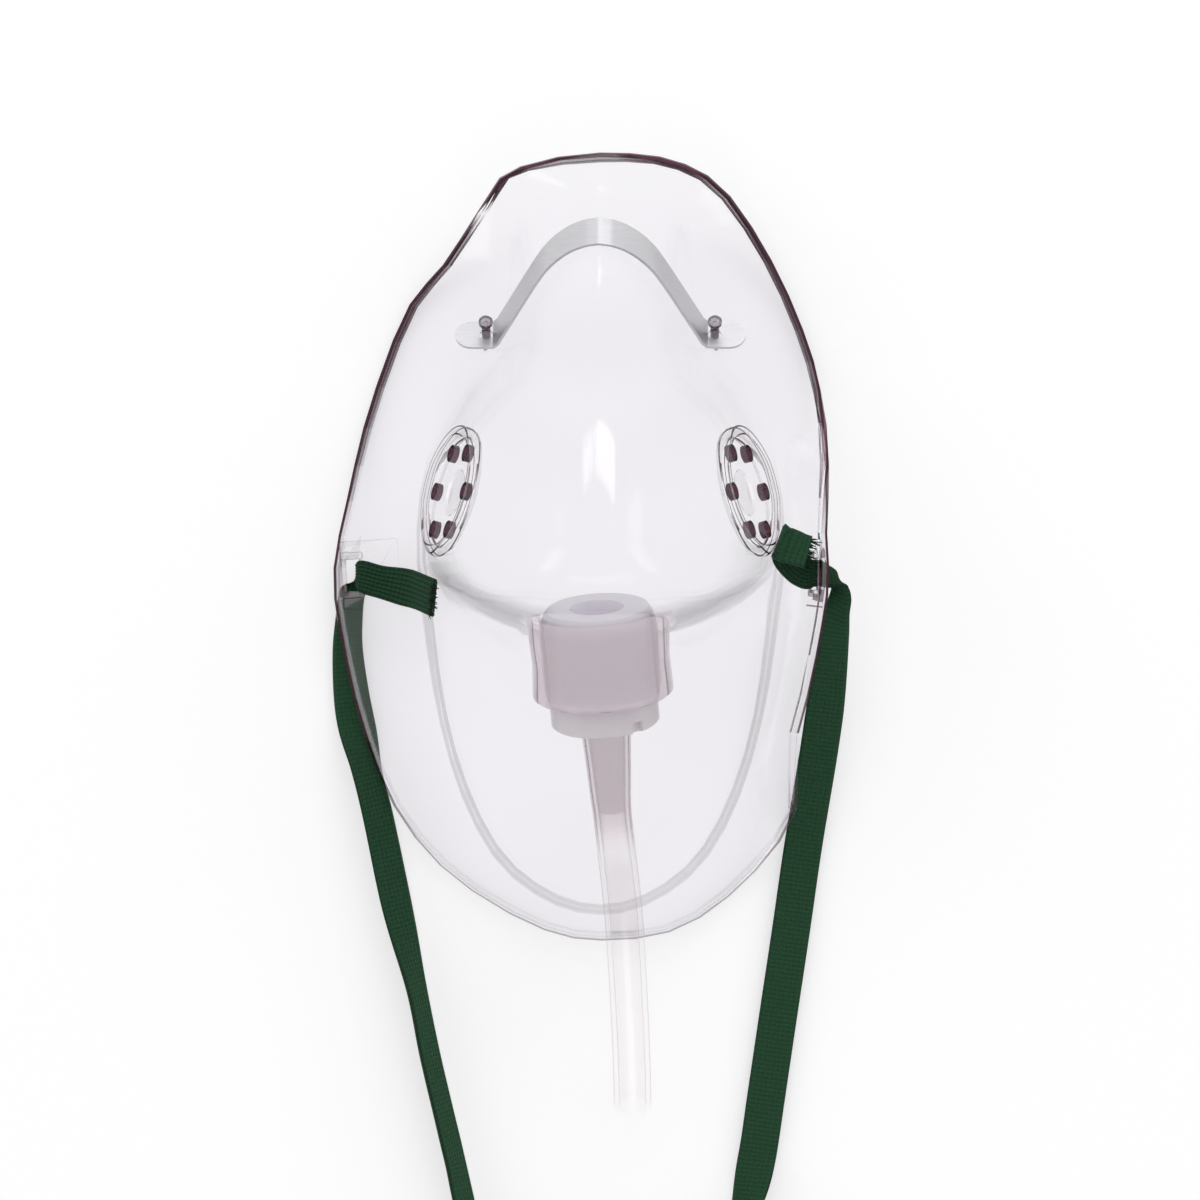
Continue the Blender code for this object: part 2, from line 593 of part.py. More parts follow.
def add_vent(bm, frame):
    """Flat disc with a round bead on its edge and a slightly raised centre."""
    half = VENT_PLATE / 2
    bead = [(VENT_RADIUS + VENT_BEAD_RADIUS * math.cos(a), VENT_BEAD_RADIUS * math.sin(a))
            for a in (math.radians(d) for d in range(-135, 136, 45))]
    profile = [(0.0, -half), (VENT_RADIUS - 0.0009, -half), *bead, (VENT_RADIUS - 0.0009, half),
               (VENT_CENTRE_RADIUS, half), (VENT_CENTRE_RADIUS - 0.0005, half + VENT_CENTRE_RISE),
               (0.0, half + VENT_CENTRE_RISE)]
    piece = turned(profile, frame, 36)
    mesh = bpy.data.meshes.new("vent")
    piece.to_mesh(mesh)
    piece.free()
    bm.from_mesh(mesh)
    bpy.data.meshes.remove(mesh)


def add_tab(bm, skin, side):
    """Raised rectangle on the flange that carries the strap slot."""
    start = skin.flange_frame(side, TAB_START_SHARE).translation
    end = skin.flange_frame(side, TAB_END_SHARE).translation
    middle = skin.flange_frame(side, (TAB_START_SHARE + TAB_END_SHARE) / 2)
    length = (end - start).length
    thick = WALL * 0.6 + TAB_RISE
    add_box(bm, middle, (length, TAB_LENGTH, thick), (0, 0, TAB_RISE - thick / 2), 0.0004)


def add_slot_lips(bm, skin, side):
    """A thick lip at each end of the strap slot."""
    slot = skin.flange_frame(side, SLOT_SHARE)
    for way in (1, -1):
        offset = way * (SLOT_LENGTH + LIP_WIDTH) / 2
        tall = WALL * 0.8 + LIP_RISE
        add_box(bm, slot, (SLOT_WIDTH + 0.0016, LIP_WIDTH, tall), (0, offset, LIP_RISE - tall / 2), 0.0003)


def clip_frame(tree):
    """Frame of the clip: origin on the bridge, Y across the strip, Z out of it."""
    point, _ = surface_point(tree, 0.0, CLIP_APEX_Y)
    y = Vector((0.0, math.cos(CLIP_TILT), -math.sin(CLIP_TILT)))
    x = Vector((1.0, 0.0, 0.0))
    rotation = Matrix((x, y, x.cross(y))).transposed()
    return Matrix.Translation(point) @ rotation.to_4x4()


def clip_line(tree):
    """Underside of the clip in its own frame: over the bridge, down the sides, flat at the ends."""
    frame = clip_frame(tree)
    outward = frame.to_3x3().col[2]
    samples = []
    count = 24
    for step in range(count + 1):
        x = CLIP_TAB_END_X * step / count
        heights = []
        for way in (-0.5, 0.0, 0.5):
            for side in (1, -1):
                start = frame @ Vector((side * x, way * CLIP_WIDTH, 0.05))
                hit, _, _, _ = tree.ray_cast(start, -outward)
                heights.append((frame.inverted() @ hit).z)
        samples.append((x, max(heights) + SEAT_GAP))
    tab_height = max(z for x, z in samples if x > CLIP_FLAT_X)
    leg = [(x, z) for x, z in samples if z > tab_height + SEAT_GAP and x < CLIP_FLAT_X]
    hull = []
    for point in leg:
        while len(hull) > 1 and turn_of(hull[-2], hull[-1], point) >= 0:
            hull.pop()
        hull.append(point)
    return hull, tab_height


def turn_of(a, b, c):
    return (b[0] - a[0]) * (c[1] - a[1]) - (b[1] - a[1]) * (c[0] - a[0])


def build_clip(tree, material):
    hull, tab_height = clip_line(tree)
    last_x, last_z = hull[-1]
    slope = (hull[-1][1] - hull[-2][1]) / (hull[-1][0] - hull[-2][0])
    bend_x = last_x + (tab_height - last_z) / slope
    right = hull[1:] + [(bend_x, tab_height), (CLIP_TAB_END_X, tab_height)]
    line = round_corners([(-x, z) for x, z in reversed(right)] + [hull[0]] + right, 2)
    frame = clip_frame(tree)
    bm = bmesh.new()
    outline = line + list(reversed(offset_line(line, CLIP_THICKNESS)))
    strip = bm.faces.new([bm.verts.new((x, -CLIP_WIDTH / 2, z)) for x, z in outline])
    grown = bmesh.ops.extrude_face_region(bm, geom=[strip])["geom"]
    bmesh.ops.translate(bm, vec=(0, CLIP_WIDTH, 0), verts=[v for v in grown if isinstance(v, bmesh.types.BMVert)])
    bmesh.ops.transform(bm, matrix=frame, verts=bm.verts)
    clip = new_object("nose_clip", bm, material)
    cuts = bmesh.new()
    for side in (1, -1):
        end = frame @ Matrix.Translation((side * (CLIP_TAB_END_X - CLIP_TAB_RADIUS), 0, tab_height))
        add_round_end(cuts, end, side)
        hole = pip_frame(tree, side)
        add_cylinder(cuts, hole, PIP_RADIUS + PIP_HOLE_CLEARANCE, -0.004, 0.006, 16)
    boolean(clip, hide_tool(new_object("clip_cuts", cuts)), "DIFFERENCE")
    return clip


def offset_line(points, distance):
    """The same line, moved to its upper side."""
    moved = []
    for i, point in enumerate(points):
        before = points[max(i - 1, 0)]
        after = points[min(i + 1, len(points) - 1)]
        run = Vector((after[0] - before[0], after[1] - before[1])).normalized()
        moved.append((point[0] - run.y * distance, point[1] + run.x * distance))
    return moved


def round_corners(points, passes):
    """Cut each corner of an open line at its quarter points."""
    for _ in range(passes):
        cut = [points[0]]
        for a, b in zip(points, points[1:]):
            cut.append((a[0] * 0.75 + b[0] * 0.25, a[1] * 0.75 + b[1] * 0.25))
            cut.append((a[0] * 0.25 + b[0] * 0.75, a[1] * 0.25 + b[1] * 0.75))
        points = cut + [points[-1]]
        points = [p for i, p in enumerate(points) if i == 0 or math.dist(p, points[i - 1]) > 0.00025]
    return points


def add_round_end(bm, frame, side):
    """Cutter that leaves a half disc at the end of the strip."""
    radius = CLIP_TAB_RADIUS
    reach = radius * 1.6
    arc = [(radius * math.sin(a), radius * math.cos(a)) for a in
           (math.pi * k / 12 for k in range(13))]
    outline = [(0.0, reach)] + arc + [(0.0, -reach), (reach, -reach), (reach, reach)]
    low = [bm.verts.new(frame @ Vector((side * x, y, -0.003))) for x, y in outline]
    face = bm.faces.new(low)
    grown = bmesh.ops.extrude_face_region(bm, geom=[face])["geom"]
    up = frame.to_3x3().col[2] * 0.006
    bmesh.ops.translate(bm, vec=up, verts=[v for v in grown if isinstance(v, bmesh.types.BMVert)])


def pip_frame(tree, side):
    """Foot of a stud on the shell, its axis square to the clip's end."""
    clip = clip_frame(tree)
    outward = clip.to_3x3().col[2]
    start = clip @ Vector((side * PIP_X, 0.0, 0.05))
    hit, _, _, _ = tree.ray_cast(start, -outward)
    return axis_frame(hit, outward)


def add_pip(bm, tree, side):
    frame = pip_frame(tree, side)
    _, tab_height = clip_line(tree)
    clip_z = (clip_frame(tree).inverted() @ frame.translation).z
    head = tab_height - clip_z + CLIP_THICKNESS + PIP_HEAD_GAP
    profile = [(0.0, -0.0008), (PIP_RADIUS, -0.0008), (PIP_RADIUS, head), (PIP_HEAD_RADIUS, head + 0.0002),
               (PIP_HEAD_RADIUS, head + PIP_HEAD_HEIGHT * 0.6), (PIP_HEAD_RADIUS * 0.6, head + PIP_HEAD_HEIGHT),
               (0.0, head + PIP_HEAD_HEIGHT)]
    piece = turned(profile, frame, 12)
    mesh = bpy.data.meshes.new("pip")
    piece.to_mesh(mesh)
    piece.free()
    bm.from_mesh(mesh)
    bpy.data.meshes.remove(mesh)


def build_connector(material):
    body = PORT_BORE_RADIUS - PLUG_CLEARANCE
    tip = PLUG_OUTER_END + STEM_LENGTH
    profile = [
        (PLUG_RECESS_RADIUS, PLUG_INNER_END), (body - 0.0012, PLUG_INNER_END), (body - 0.0004, PLUG_INNER_END + 0.0012),
        (body, PLUG_INNER_END + 0.0030), (body, PLUG_LIP_START - 0.0010), (PLUG_LIP_RADIUS, PLUG_LIP_START),
        (PLUG_LIP_RADIUS, PLUG_OUTER_END - 0.0004), (PLUG_LIP_RADIUS - 0.0004, PLUG_OUTER_END),
        (STEM_ROOT_RADIUS, PLUG_OUTER_END), (STEM_TIP_RADIUS, tip), (PLUG_BORE_RADIUS, tip),
        (PLUG_BORE_RADIUS, PLUG_INNER_END + PLUG_RECESS_DEPTH),
        (PLUG_RECESS_RADIUS, PLUG_INNER_END + PLUG_RECESS_DEPTH),
    ]
    connector = new_object("tube_connector", turned(profile, port_frame(0.0), 40), material)
    notch = bmesh.new()
    turn = Matrix.Rotation(NOTCH_ANGLE, 4, "Z")
    spot = port_frame(PLUG_OUTER_END) @ turn @ Matrix.Translation((0, PLUG_LIP_RADIUS, 0))
    add_box(notch, spot, (NOTCH_WIDTH, 0.0024, NOTCH_DEPTH * 2))
    boolean(connector, hide_tool(new_object("lip_notch", notch)), "DIFFERENCE")
    return connector


def through_points(points, steps):
    """Smooth curve through the given rows, with that many steps from each to the next."""
    padded = np.vstack([2 * points[0] - points[1], points, 2 * points[-1] - points[-2]])
    rows = []
    for i in range(len(points) - 1):
        a, b, c, d = padded[i:i + 4]
        for u in np.linspace(0.0, 1.0, steps, endpoint=False):
            rows.append(0.5 * (2 * b + (c - a) * u + (2 * a - 5 * b + 4 * c - d) * u ** 2
                               + (3 * b - a - 3 * c + d) * u ** 3))
    return np.array(rows + [points[-1]])


def even_line(points, count):
    """That many evenly spaced points on a smooth curve through the given ones, and its length."""
    fine = through_points(np.array(points, dtype=float), 24)
    steps = np.linalg.norm(np.diff(fine, axis=0), axis=1)
    travel = np.concatenate([[0.0], np.cumsum(steps)])
    marks = np.linspace(0.0, travel[-1], count)
    return np.stack([np.interp(marks, travel, fine[:, k]) for k in range(3)], axis=1), travel[-1]


def tube_path():
    start = port_frame(PLUG_OUTER_END + SEAT_GAP).translation
    knee = port_frame(PLUG_OUTER_END + STEM_LENGTH * 0.5).translation
    tip = port_frame(PLUG_OUTER_END + STEM_LENGTH).translation
    return even_line([start, knee, tip, *TUBE_ROUTE], TUBE_POINTS)


def ring_about(centre, side, up, radius, sides):
    angles = [2 * math.pi * k / sides for k in range(sides)]
    return [centre + side * (radius * math.cos(a)) + up * (radius * math.sin(a)) for a in angles]


def build_tube(material):
    """Tube with an open end, stretched over the connector's stem."""
    path, length = tube_path()
    outer = []
    inner = []
    for i, point in enumerate(path):
        ahead = Vector(path[min(i + 1, len(path) - 1)] - path[max(i - 1, 0)]).normalized()
        side = Vector((0, 0, 1)).cross(ahead).normalized()
        up = ahead.cross(side)
        gone = length * i / (len(path) - 1)
        stem = STEM_ROOT_RADIUS + (STEM_TIP_RADIUS - STEM_ROOT_RADIUS) * min(gone / STEM_LENGTH, 1.0)
        bore = max(TUBE_BORE_RADIUS, stem + SEAT_GAP)
        inner.append(ring_about(Vector(point), side, up, bore, TUBE_SIDES))
        outer.append(ring_about(Vector(point), side, up, bore + TUBE_WALL, TUBE_SIDES))
    bm = loft(outer + inner[::-1] + [outer[0]], close_ends=False)
    bmesh.ops.remove_doubles(bm, verts=bm.verts, dist=1e-6)
    return new_object("oxygen_tube", bm, material)


def strap_share(point):
    reach = min((point - Vector(slot)).length for slot in STRAP_SLOTS)
    return GATHERED_SHARE + (1 - GATHERED_SHARE) * smooth_step(reach, GATHER_START, GATHER_END)


def build_strap(material):
    keys = np.array([(*point, *width) for point, width in STRAP_ROUTE])
    rows = through_points(keys, STRAP_STEPS)
    rings = []
    for i, row in enumerate(rows):
        share = strap_share(Vector(row[:3]))
        half_w = STRAP_WIDTH / 2 * share
        half_t = STRAP_THICKNESS / 2 / math.sqrt(share)
        ahead = Vector(rows[min(i + 1, len(rows) - 1)][:3] - rows[max(i - 1, 0)][:3]).normalized()
        width = Vector(row[3:])
        width = (width - width.project(ahead)).normalized()
        face = ahead.cross(width)
        lowest = half_w * abs(width.z) + half_t * abs(face.z) + SEAT_GAP
        row[2] = max(row[2], lowest)
        corners = ((-half_w, -half_t), (half_w, -half_t), (half_w, half_t), (-half_w, half_t))
        rings.append([Vector(row[:3]) + width * u + face * v for u, v in corners])
    return new_object("elastic_strap", loft(rings), material)


def main():
    clear_scene()
    clear_vinyl = plain_material("clear_vinyl", (0.83, 0.80, 0.87), 0.12, 0.0, 0.35)
    aluminium = plain_material("aluminium", (0.55, 0.54, 0.57), 0.38, 1.0)
    milky_plastic = plain_material("milky_plastic", (0.62, 0.60, 0.68), 0.35)
    clear_tubing = plain_material("clear_tubing", (0.80, 0.77, 0.82), 0.15, 0.0, 0.5)
    green_elastic = plain_material("green_elastic", (0.013, 0.075, 0.035), 0.85)

    skin = Skin(AROUND_STEPS)
    _, tree = build_shell(skin, clear_vinyl)
    build_clip(tree, aluminium)
    build_connector(milky_plastic)
    build_tube(clear_tubing)
    build_strap(green_elastic)
    for obj in bpy.data.objects:
        obj.data.transform(Matrix.Translation(FRAME_SHIFT))


main()
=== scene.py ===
import math
import random

import bmesh
import bpy
import numpy as np
from mathutils import Matrix, Vector
from mathutils.bvhtree import BVHTree


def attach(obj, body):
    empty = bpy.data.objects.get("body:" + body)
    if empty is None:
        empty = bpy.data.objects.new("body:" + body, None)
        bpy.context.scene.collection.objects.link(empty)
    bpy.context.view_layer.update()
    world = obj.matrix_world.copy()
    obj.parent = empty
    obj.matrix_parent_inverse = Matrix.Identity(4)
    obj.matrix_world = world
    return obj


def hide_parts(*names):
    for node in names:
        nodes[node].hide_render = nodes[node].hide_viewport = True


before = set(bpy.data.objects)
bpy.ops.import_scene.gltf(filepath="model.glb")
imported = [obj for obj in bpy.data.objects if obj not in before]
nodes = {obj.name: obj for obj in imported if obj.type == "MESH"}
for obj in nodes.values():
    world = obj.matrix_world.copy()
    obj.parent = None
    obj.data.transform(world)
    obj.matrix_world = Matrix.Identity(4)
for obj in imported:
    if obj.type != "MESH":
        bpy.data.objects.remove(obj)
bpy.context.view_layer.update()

# From the drawing's zero point to the frame's, and the room between seated pieces. Lengths are in metres.
SHIFT = Vector((0.0039, 0.0008, 0.0))
SEAT_GAP = 0.0003

# The camera hangs over the table, a little toward the right and the nose end of the picture's centre.
RENDER_WIDTH = 1200
SENSOR_WIDTH = 36.0
CAMERA_CLIP = (0.01, 20.0)
CAMERA_HEIGHT = 0.885
TABLE_SCALE = 0.000192
PICTURE_CENTRE = Vector((0.0037, -0.0095, 0.0))
CAMERA_LEAN_X = math.radians(0.7)
CAMERA_LEAN_Y = math.radians(1.0)

# Table, lamps and world. A lamp has its place, its target, its power in watts and its size.
FLOOR_SPAN = 3.0
TABLE_COLOUR = (0.62, 0.62, 0.62, 1.0)
TABLE_GLOW = 0.52
WORLD_LIGHT = 0.58
LAMPS = [
    ("left_softbox", (-1.25, 0.30, 0.66), (0.0, 0.0, 0.0), 2.4, (1.0, 0.6)),
    ("right_softbox", (1.25, 0.40, 0.60), (0.0, 0.0, 0.0), 1.8, (1.0, 0.6)),
    ("low_fill", (0.05, -1.25, 0.60), (0.0, -0.02, 0.0), 1.0, (0.9, 0.5)),
    ("far_window", (0.26, 1.15, 0.66), (0.0, 0.0, 0.0), 3.2, (0.70, 0.45)),
    ("far_lamp", (-0.34, 1.15, 0.72), (0.0, 0.0, 0.0), 0.9, (0.35, 0.30)),
]

# The port's axis, with the plug, its stem and the tube on it. Places along it are measured from PORT_START.
PORT_START = Vector((0.0, -0.0145, 0.0395))
PORT_DROP = math.radians(15.0)
PORT_YAW = math.radians(4.0)
PLUG_OUTER_END = 0.0185
STEM_LENGTH = 0.0172
STEM_ROOT_RADIUS = 0.0034
STEM_TIP_RADIUS = 0.0023
TUBE_RADIUS = 0.0032
TUBE_BORE_RADIUS = 0.0022
TUBE_ROUTE = [
    (0.0043, -0.0666, 0.0243), (0.0050, -0.0770, 0.0192), (0.0055, -0.0870, 0.0140), (0.0059, -0.0970, 0.0086),
    (0.0061, -0.1070, 0.0034),
]
TUBE_POINTS = 60
TUBE_SIDES = 32
TUBE_FINE_STEPS = 24
WELD_REACH = 0.000002

# Clear plastic. A span says where a look starts and where it is full, from 0 seen face on to 1 seen edge on. The
# sheet's tint span and the span of painted shade on thick parts go by how dark the wall is instead.
FACE_GLOSS = 0.024
MOST_GLOSS = 0.97
EDGE_END = 0.97
EDGE_HAZE = 0.08
EDGE_HAZE_POWER = 4.0
SHEET_TINT_SPAN = (0.0, 0.20)
CONTOUR_SPAN = (0.80, 0.96)
CONTOUR_COLOUR = (0.10, 0.085, 0.10, 1.0)
# Painted shade on the parts marked thick: the bead, lips, studs, hole walls, vent rings and slot ends.
THICK_FACE_SHARE = 0.30
THICK_SPAN = (0.05, 0.40)
THICK_SHADE_SPAN = (0.05, 0.35)
THICK_SHADE_COLOUR = (0.060, 0.022, 0.034, 1.0)
MILKY_SPAN = (0.15, 0.60)
MILKY_COLOUR = (0.73, 0.66, 0.705, 1.0)
MILKY_EDGE_COLOUR = (0.62, 0.54, 0.575, 1.0)
MILKY_SHARE = 0.42
MILKY_EDGE_SHARE = 0.12
VINYL = {"tint": (0.970, 0.964, 0.977, 1.0), "sheet_tint": (0.30, 0.28, 0.30, 1.0), "edge_share": 0.70,
         "edge_start": 0.64, "roughness": 0.09}
TUBING = {"tint": (0.994, 0.988, 0.991, 1.0), "sheet_tint": (0.62, 0.57, 0.60, 1.0), "edge_share": 0.36,
          "edge_start": 0.55, "roughness": 0.10}
STEM_REACH = (-0.060, -0.048)

# The milky collar of the moulding, along the port's axis and out from it.
COLLAR_START = (-0.0040, -0.0030)
COLLAR_END = (0.0145, 0.0138)
COLLAR_INSIDE = (0.0098, 0.0103)
COLLAR_OUTSIDE = (0.0148, 0.0138)

# The bead round the moulding: which faces are solid, and how much painted shade darkens them toward the chin and
# the nose.
SHEET_WALL = (0.0009, 0.00125)
BROAD_FACE = 0.000004
RAY_START = 0.00002
OUTLINE_PARTS = 120
RIM_REACH = 0.0034
CHIN_SHADE = 0.35
CHIN_FADE = (-0.065, 0.0)
TOP_FADE = (0.0, 0.045)
TOP_OUTWARD = 0.5
INNER_SHADE = 0.12
OUTER_HALF = (-0.25, 0.25)

# Vents with their holes and ring lines, studs, and the lips and ends of the strap slots, all darkened by painted
# shade.
VENT_X = 0.0290
VENT_Y = 0.0107
VENT_Z = 0.0194
VENT_REACH = 0.0140
VENT_SHADE = 0.20
VENT_LINES = (0.0124, 0.0108)
VENT_LINE_SPAN = (0.00022, 0.000088)
VENT_LINE_SHADE = 1.6
HOLE_SPAN = (0.0020, 0.0036)
HOLE_SHADE = 4.0
HOLE_END_FADE = 0.8
STUD_X = 0.0215
STUD_Y = 0.0420
STUD_REACH = 0.0035
STUD_SHADE = 0.60
LIP_REACH = 0.0050
LIP_SHADE = 0.70
SLOT_BLOCK_X = 0.0012
SLOT_BLOCK_Y = 0.0034
SLOT_BLOCK_SPAN = (0.0018, 0.0011)
SLOT_BLOCK_SHADE = 0.9

# Milky plastic of the plug, with painted light at its end inside the mask, and soft aluminium of the nose clip.
PLUG_DEEP_COLOUR = (0.72, 0.66, 0.705, 1.0)
PLUG_COLOUR = (0.80, 0.745, 0.785, 1.0)
PLUG_LIT_COLOUR = (0.86, 0.835, 0.88, 1.0)
PLUG_LIT_REACH = (-0.0165, -0.0125)
PLUG_DEPTH = (0.006, 0.006, 0.006)
# Painted shade darkens the clip where it is seen face on, standing in for a dimmer reflection.
CLIP_BRUSH = (60.0, 900.0, 60.0)
CLIP_DARK_COLOUR = (0.50, 0.495, 0.52, 1.0)
CLIP_COLOUR = (0.66, 0.65, 0.67, 1.0)
CLIP_FACE_SHADE_COLOUR = (0.30, 0.295, 0.315, 1.0)
CLIP_FACE_SHADE_SPAN = (0.0, 0.30)
CLIP_ROUGHNESS = (0.30, 0.14)

# Green knit: how much the ribs, the stitches and the fuzz count in its colour and in its height.
KNIT_PITCH = 0.00085
STITCH_SLANT = 0.45
STITCH_SPAN = (0.10, 0.80)
RIB_SPAN = (0.02, 0.55)
# Painted shade in the grooves between ribs and stitches, then the yarn's own greens.
SHADED_GROOVE_COLOURS = ((0.002, 0.011, 0.005, 1.0), (0.004, 0.018, 0.008, 1.0))
YARN_COLOURS = ((0.008, 0.045, 0.018, 1.0), (0.024, 0.090, 0.040, 1.0))
YARN_SHEEN = (0.35, 0.70, 0.45, 1.0)
GROOVE_SHADE = 0.08
RIB_SHADE = 0.58
STITCH_SHADE = 0.34
RIB_RISE = 0.65
STITCH_RISE = 0.25
FUZZ_RISE = 0.2

# Elastic strap: its section, and how it is gathered in the slots and opens out beyond them.
STRAP_WIDTH = 0.0064
STRAP_THICKNESS = 0.00095
STRAP_STEPS = 10
STRAP_RIBS = 7
STRAP_COLUMNS = 42
STRAP_LIFT = 0.0006
RIB_HEIGHT = 0.00016
RIB_ROUNDING = 0.6
STRAP_SLOTS = ((-0.0473, -0.0055, 0.0058), (0.0409, -0.0050, 0.0163))
GATHERED_SHARE = 0.58
GATHER_START = 0.0050
GATHER_END = 0.0300
TAIL_SHARE = 0.80
TAIL_OPENING = 0.0030
TAIL_GATHER_END = 0.0110

# Frayed ends. Spread and lean are shares of the band's thickness and of the yarn's own way out.
FRAY_COUNT = 44
FRAY_LENGTH = 0.0028
FRAY_SHORTEST = 0.35
FRAY_RADII = (0.00016, 0.00008)
FRAY_SIDES = 5
FRAY_WIDTH_SHARE = 0.97
FRAY_SPREAD = 0.35
FRAY_ROOT_DEPTH = 0.0004
FRAY_LEAN_ACROSS = 0.35
FRAY_LEAN_UP = 0.3
LEFT_FRAY_SEED = 3
RIGHT_FRAY_SEED = 8

# The strap's route, from its left cut end to its right one: each point, and the way its width lies there.
ACROSS = (0.0, 1.0, 0.0)
LEVEL = (1.0, 0.0, 0.0)
LEVEL_BACK = (-1.0, 0.0, 0.0)
LEANING = (0.76, 0.0, -0.65)
STANDING = (0.45, 0.0, -0.89)
UPRIGHT = (0.0, 0.0, -1.0)
LEFT_TAIL = [
    (-0.0320, -0.0097, 0.0166), (-0.0342, -0.0089, 0.0132), (-0.0365, -0.0081, 0.0093), (-0.0390, -0.0074, 0.0079),
    (-0.0425, -0.0066, 0.0078), (-0.0449, -0.0059, 0.0079), (-0.0464, -0.0056, 0.0077), (-0.0472, -0.0055, 0.0066),
    (-0.0474, -0.0055, 0.0050), (-0.0474, -0.0056, 0.0037),
]
LEFT_TURN = [((-0.0475, -0.0063, 0.0024), (0.55, 0.80, -0.25)), ((-0.0478, -0.0088, 0.0018), (0.92, 0.35, -0.10))]
LEFT_RUN = [(-0.0482, -0.0130, 0.0016), (-0.0485, -0.0205, 0.0015), (-0.0474, -0.0315, 0.0010)]
LEFT_LEAN = [(-0.0455, -0.0426, 0.0008), (-0.0432, -0.0521, 0.0008), (-0.0397, -0.0688, 0.0008)]
LEFT_STAND = [
    (-0.0360, -0.0847, 0.0008), (-0.0334, -0.0976, 0.0012), (-0.0304, -0.1104, 0.0020), (-0.0286, -0.1180, 0.0016),
    (-0.0262, -0.1285, 0.0030),
]
LOOP = [
    (-0.0230, -0.1375, 0.0034), (-0.0145, -0.1475, 0.0034), (-0.0030, -0.1525, 0.0034),
    (0.0090, -0.1508, 0.0034), (0.0195, -0.1445, 0.0034), (0.0258, -0.1350, 0.0034),
]
RIGHT_TURN = [((0.0286, -0.1260, 0.0020), (-0.8, 0.0, -0.6))]
RIGHT_RUN = [
    (0.0300, -0.1170, 0.0008), (0.0317, -0.1056, 0.0008), (0.0341, -0.0893, 0.0008), (0.0365, -0.0732, 0.0008),
    (0.0388, -0.0570, 0.0014), (0.0416, -0.0390, 0.0050), (0.0435, -0.0242, 0.0092), (0.0443, -0.0170, 0.0112),
]
RIGHT_TAIL = [
    ((0.04495, -0.0127, 0.0125), (-0.95, 0.0, -0.30)), ((0.04595, -0.0094, 0.0131), (-0.80, 0.05, -0.60)),
    ((0.04605, -0.0067, 0.0137), (-0.50, 0.30, -0.81)), ((0.04495, -0.0054, 0.0144), (0.0, 0.65, -0.76)),
    ((0.04335, -0.0051, 0.0153), (0.0, 0.90, -0.43)), ((0.0421, -0.0050, 0.0160), ACROSS),
    ((0.0409, -0.0050, 0.0163), ACROSS), ((0.0397, -0.0050, 0.0166), ACROSS), ((0.0386, -0.0050, 0.0164), ACROSS),
    ((0.0374, -0.0044, 0.0155), (0.15, 0.98, 0.0)), ((0.0360, -0.0026, 0.0149), (0.40, 0.90, 0.0)),
    ((0.0354, -0.0007, 0.0155), (0.40, 0.90, 0.05)), ((0.0348, 0.0004, 0.0166), (0.36, 0.92, 0.0)),
    ((0.0346, 0.0008, 0.0180), (0.34, 0.93, 0.0)), ((0.0350, 0.0004, 0.0192), (0.32, 0.94, 0.0)),
    ((0.0361, 0.0, 0.0196), (0.28, 0.96, 0.0)), ((0.0374, -0.0005, 0.0194), (0.25, 0.97, 0.0)),
    ((0.0388, -0.0009, 0.0190), (0.20, 0.98, 0.0)),
]
STRAP_ROUTE = (
    [(point, ACROSS) for point in LEFT_TAIL]
    + LEFT_TURN
    + [(point, LEVEL) for point in LEFT_RUN]
    + [(point, LEANING) for point in LEFT_LEAN]
    + [(point, STANDING) for point in LEFT_STAND]
    + [(point, UPRIGHT) for point in LOOP]
    + RIGHT_TURN
    + [(point, LEVEL_BACK) for point in RIGHT_RUN]
    + RIGHT_TAIL
)


class Wire:
    """One socket of a material's nodes. Sums and products of wires and numbers add the Math nodes they need."""

    def __init__(self, tree, socket=None):
        self.tree = tree
        self.socket = socket

    def node(self, kind, settings=None, inputs=None, output=0):
        """New node, given back as the wire of one output."""
        made = self.tree.nodes.new(kind)
        for name, value in (settings or {}).items():
            setattr(made, name, value)
        for name, value in (inputs or {}).items():
            if isinstance(value, Wire):
                self.tree.links.new(value.socket, made.inputs[name])
            else:
                made.inputs[name].default_value = value
        return Wire(self.tree, made.outputs[output] if made.outputs else None)

    def maths(self, operation, *values):
        return self.node("ShaderNodeMath", {"operation": operation}, dict(enumerate(values)))

    def __add__(self, other):
        return self.maths("ADD", self, other)

    def __radd__(self, other):
        return self.maths("ADD", other, self)

    def __sub__(self, other):
        return self.maths("SUBTRACT", self, other)

    def __rsub__(self, other):
        return self.maths("SUBTRACT", other, self)

    def __mul__(self, other):
        return self.maths("MULTIPLY", self, other)

    def __rmul__(self, other):
        return self.maths("MULTIPLY", other, self)

    def __pow__(self, other):
        return self.maths("POWER", self, other)

    def fitted(self, low, high):
        """0 at low, 1 at high, smooth between."""
        return self.node("ShaderNodeMapRange", {"interpolation_type": "SMOOTHSTEP"},
                         {"Value": self, "From Min": low, "From Max": high})

    def blend(self, share, first, second):
        """Colour between two colours."""
        return self.node("ShaderNodeMix", {"data_type": "RGBA"}, {0: share, 6: first, 7: second}, output=2)

    def vector(self, operation, *values, output=0):
        return self.node("ShaderNodeVectorMath", {"operation": operation}, dict(enumerate(values)), output)

    def axis(self, number):
        """One coordinate of a place, from 0 to 2."""
        return self.node("ShaderNodeSeparateXYZ", {}, {0: self}, number)

    def noise(self, place, scale, detail, roughness=0.5):
        return self.node("ShaderNodeTexNoise", {}, {"Vector": place, "Scale": scale, "Detail": detail,
                                                    "Roughness": roughness})

    def bump(self, height, distance, strength):
        return self.node("ShaderNodeBump", {}, {"Height": height, "Distance": distance, "Strength": strength})


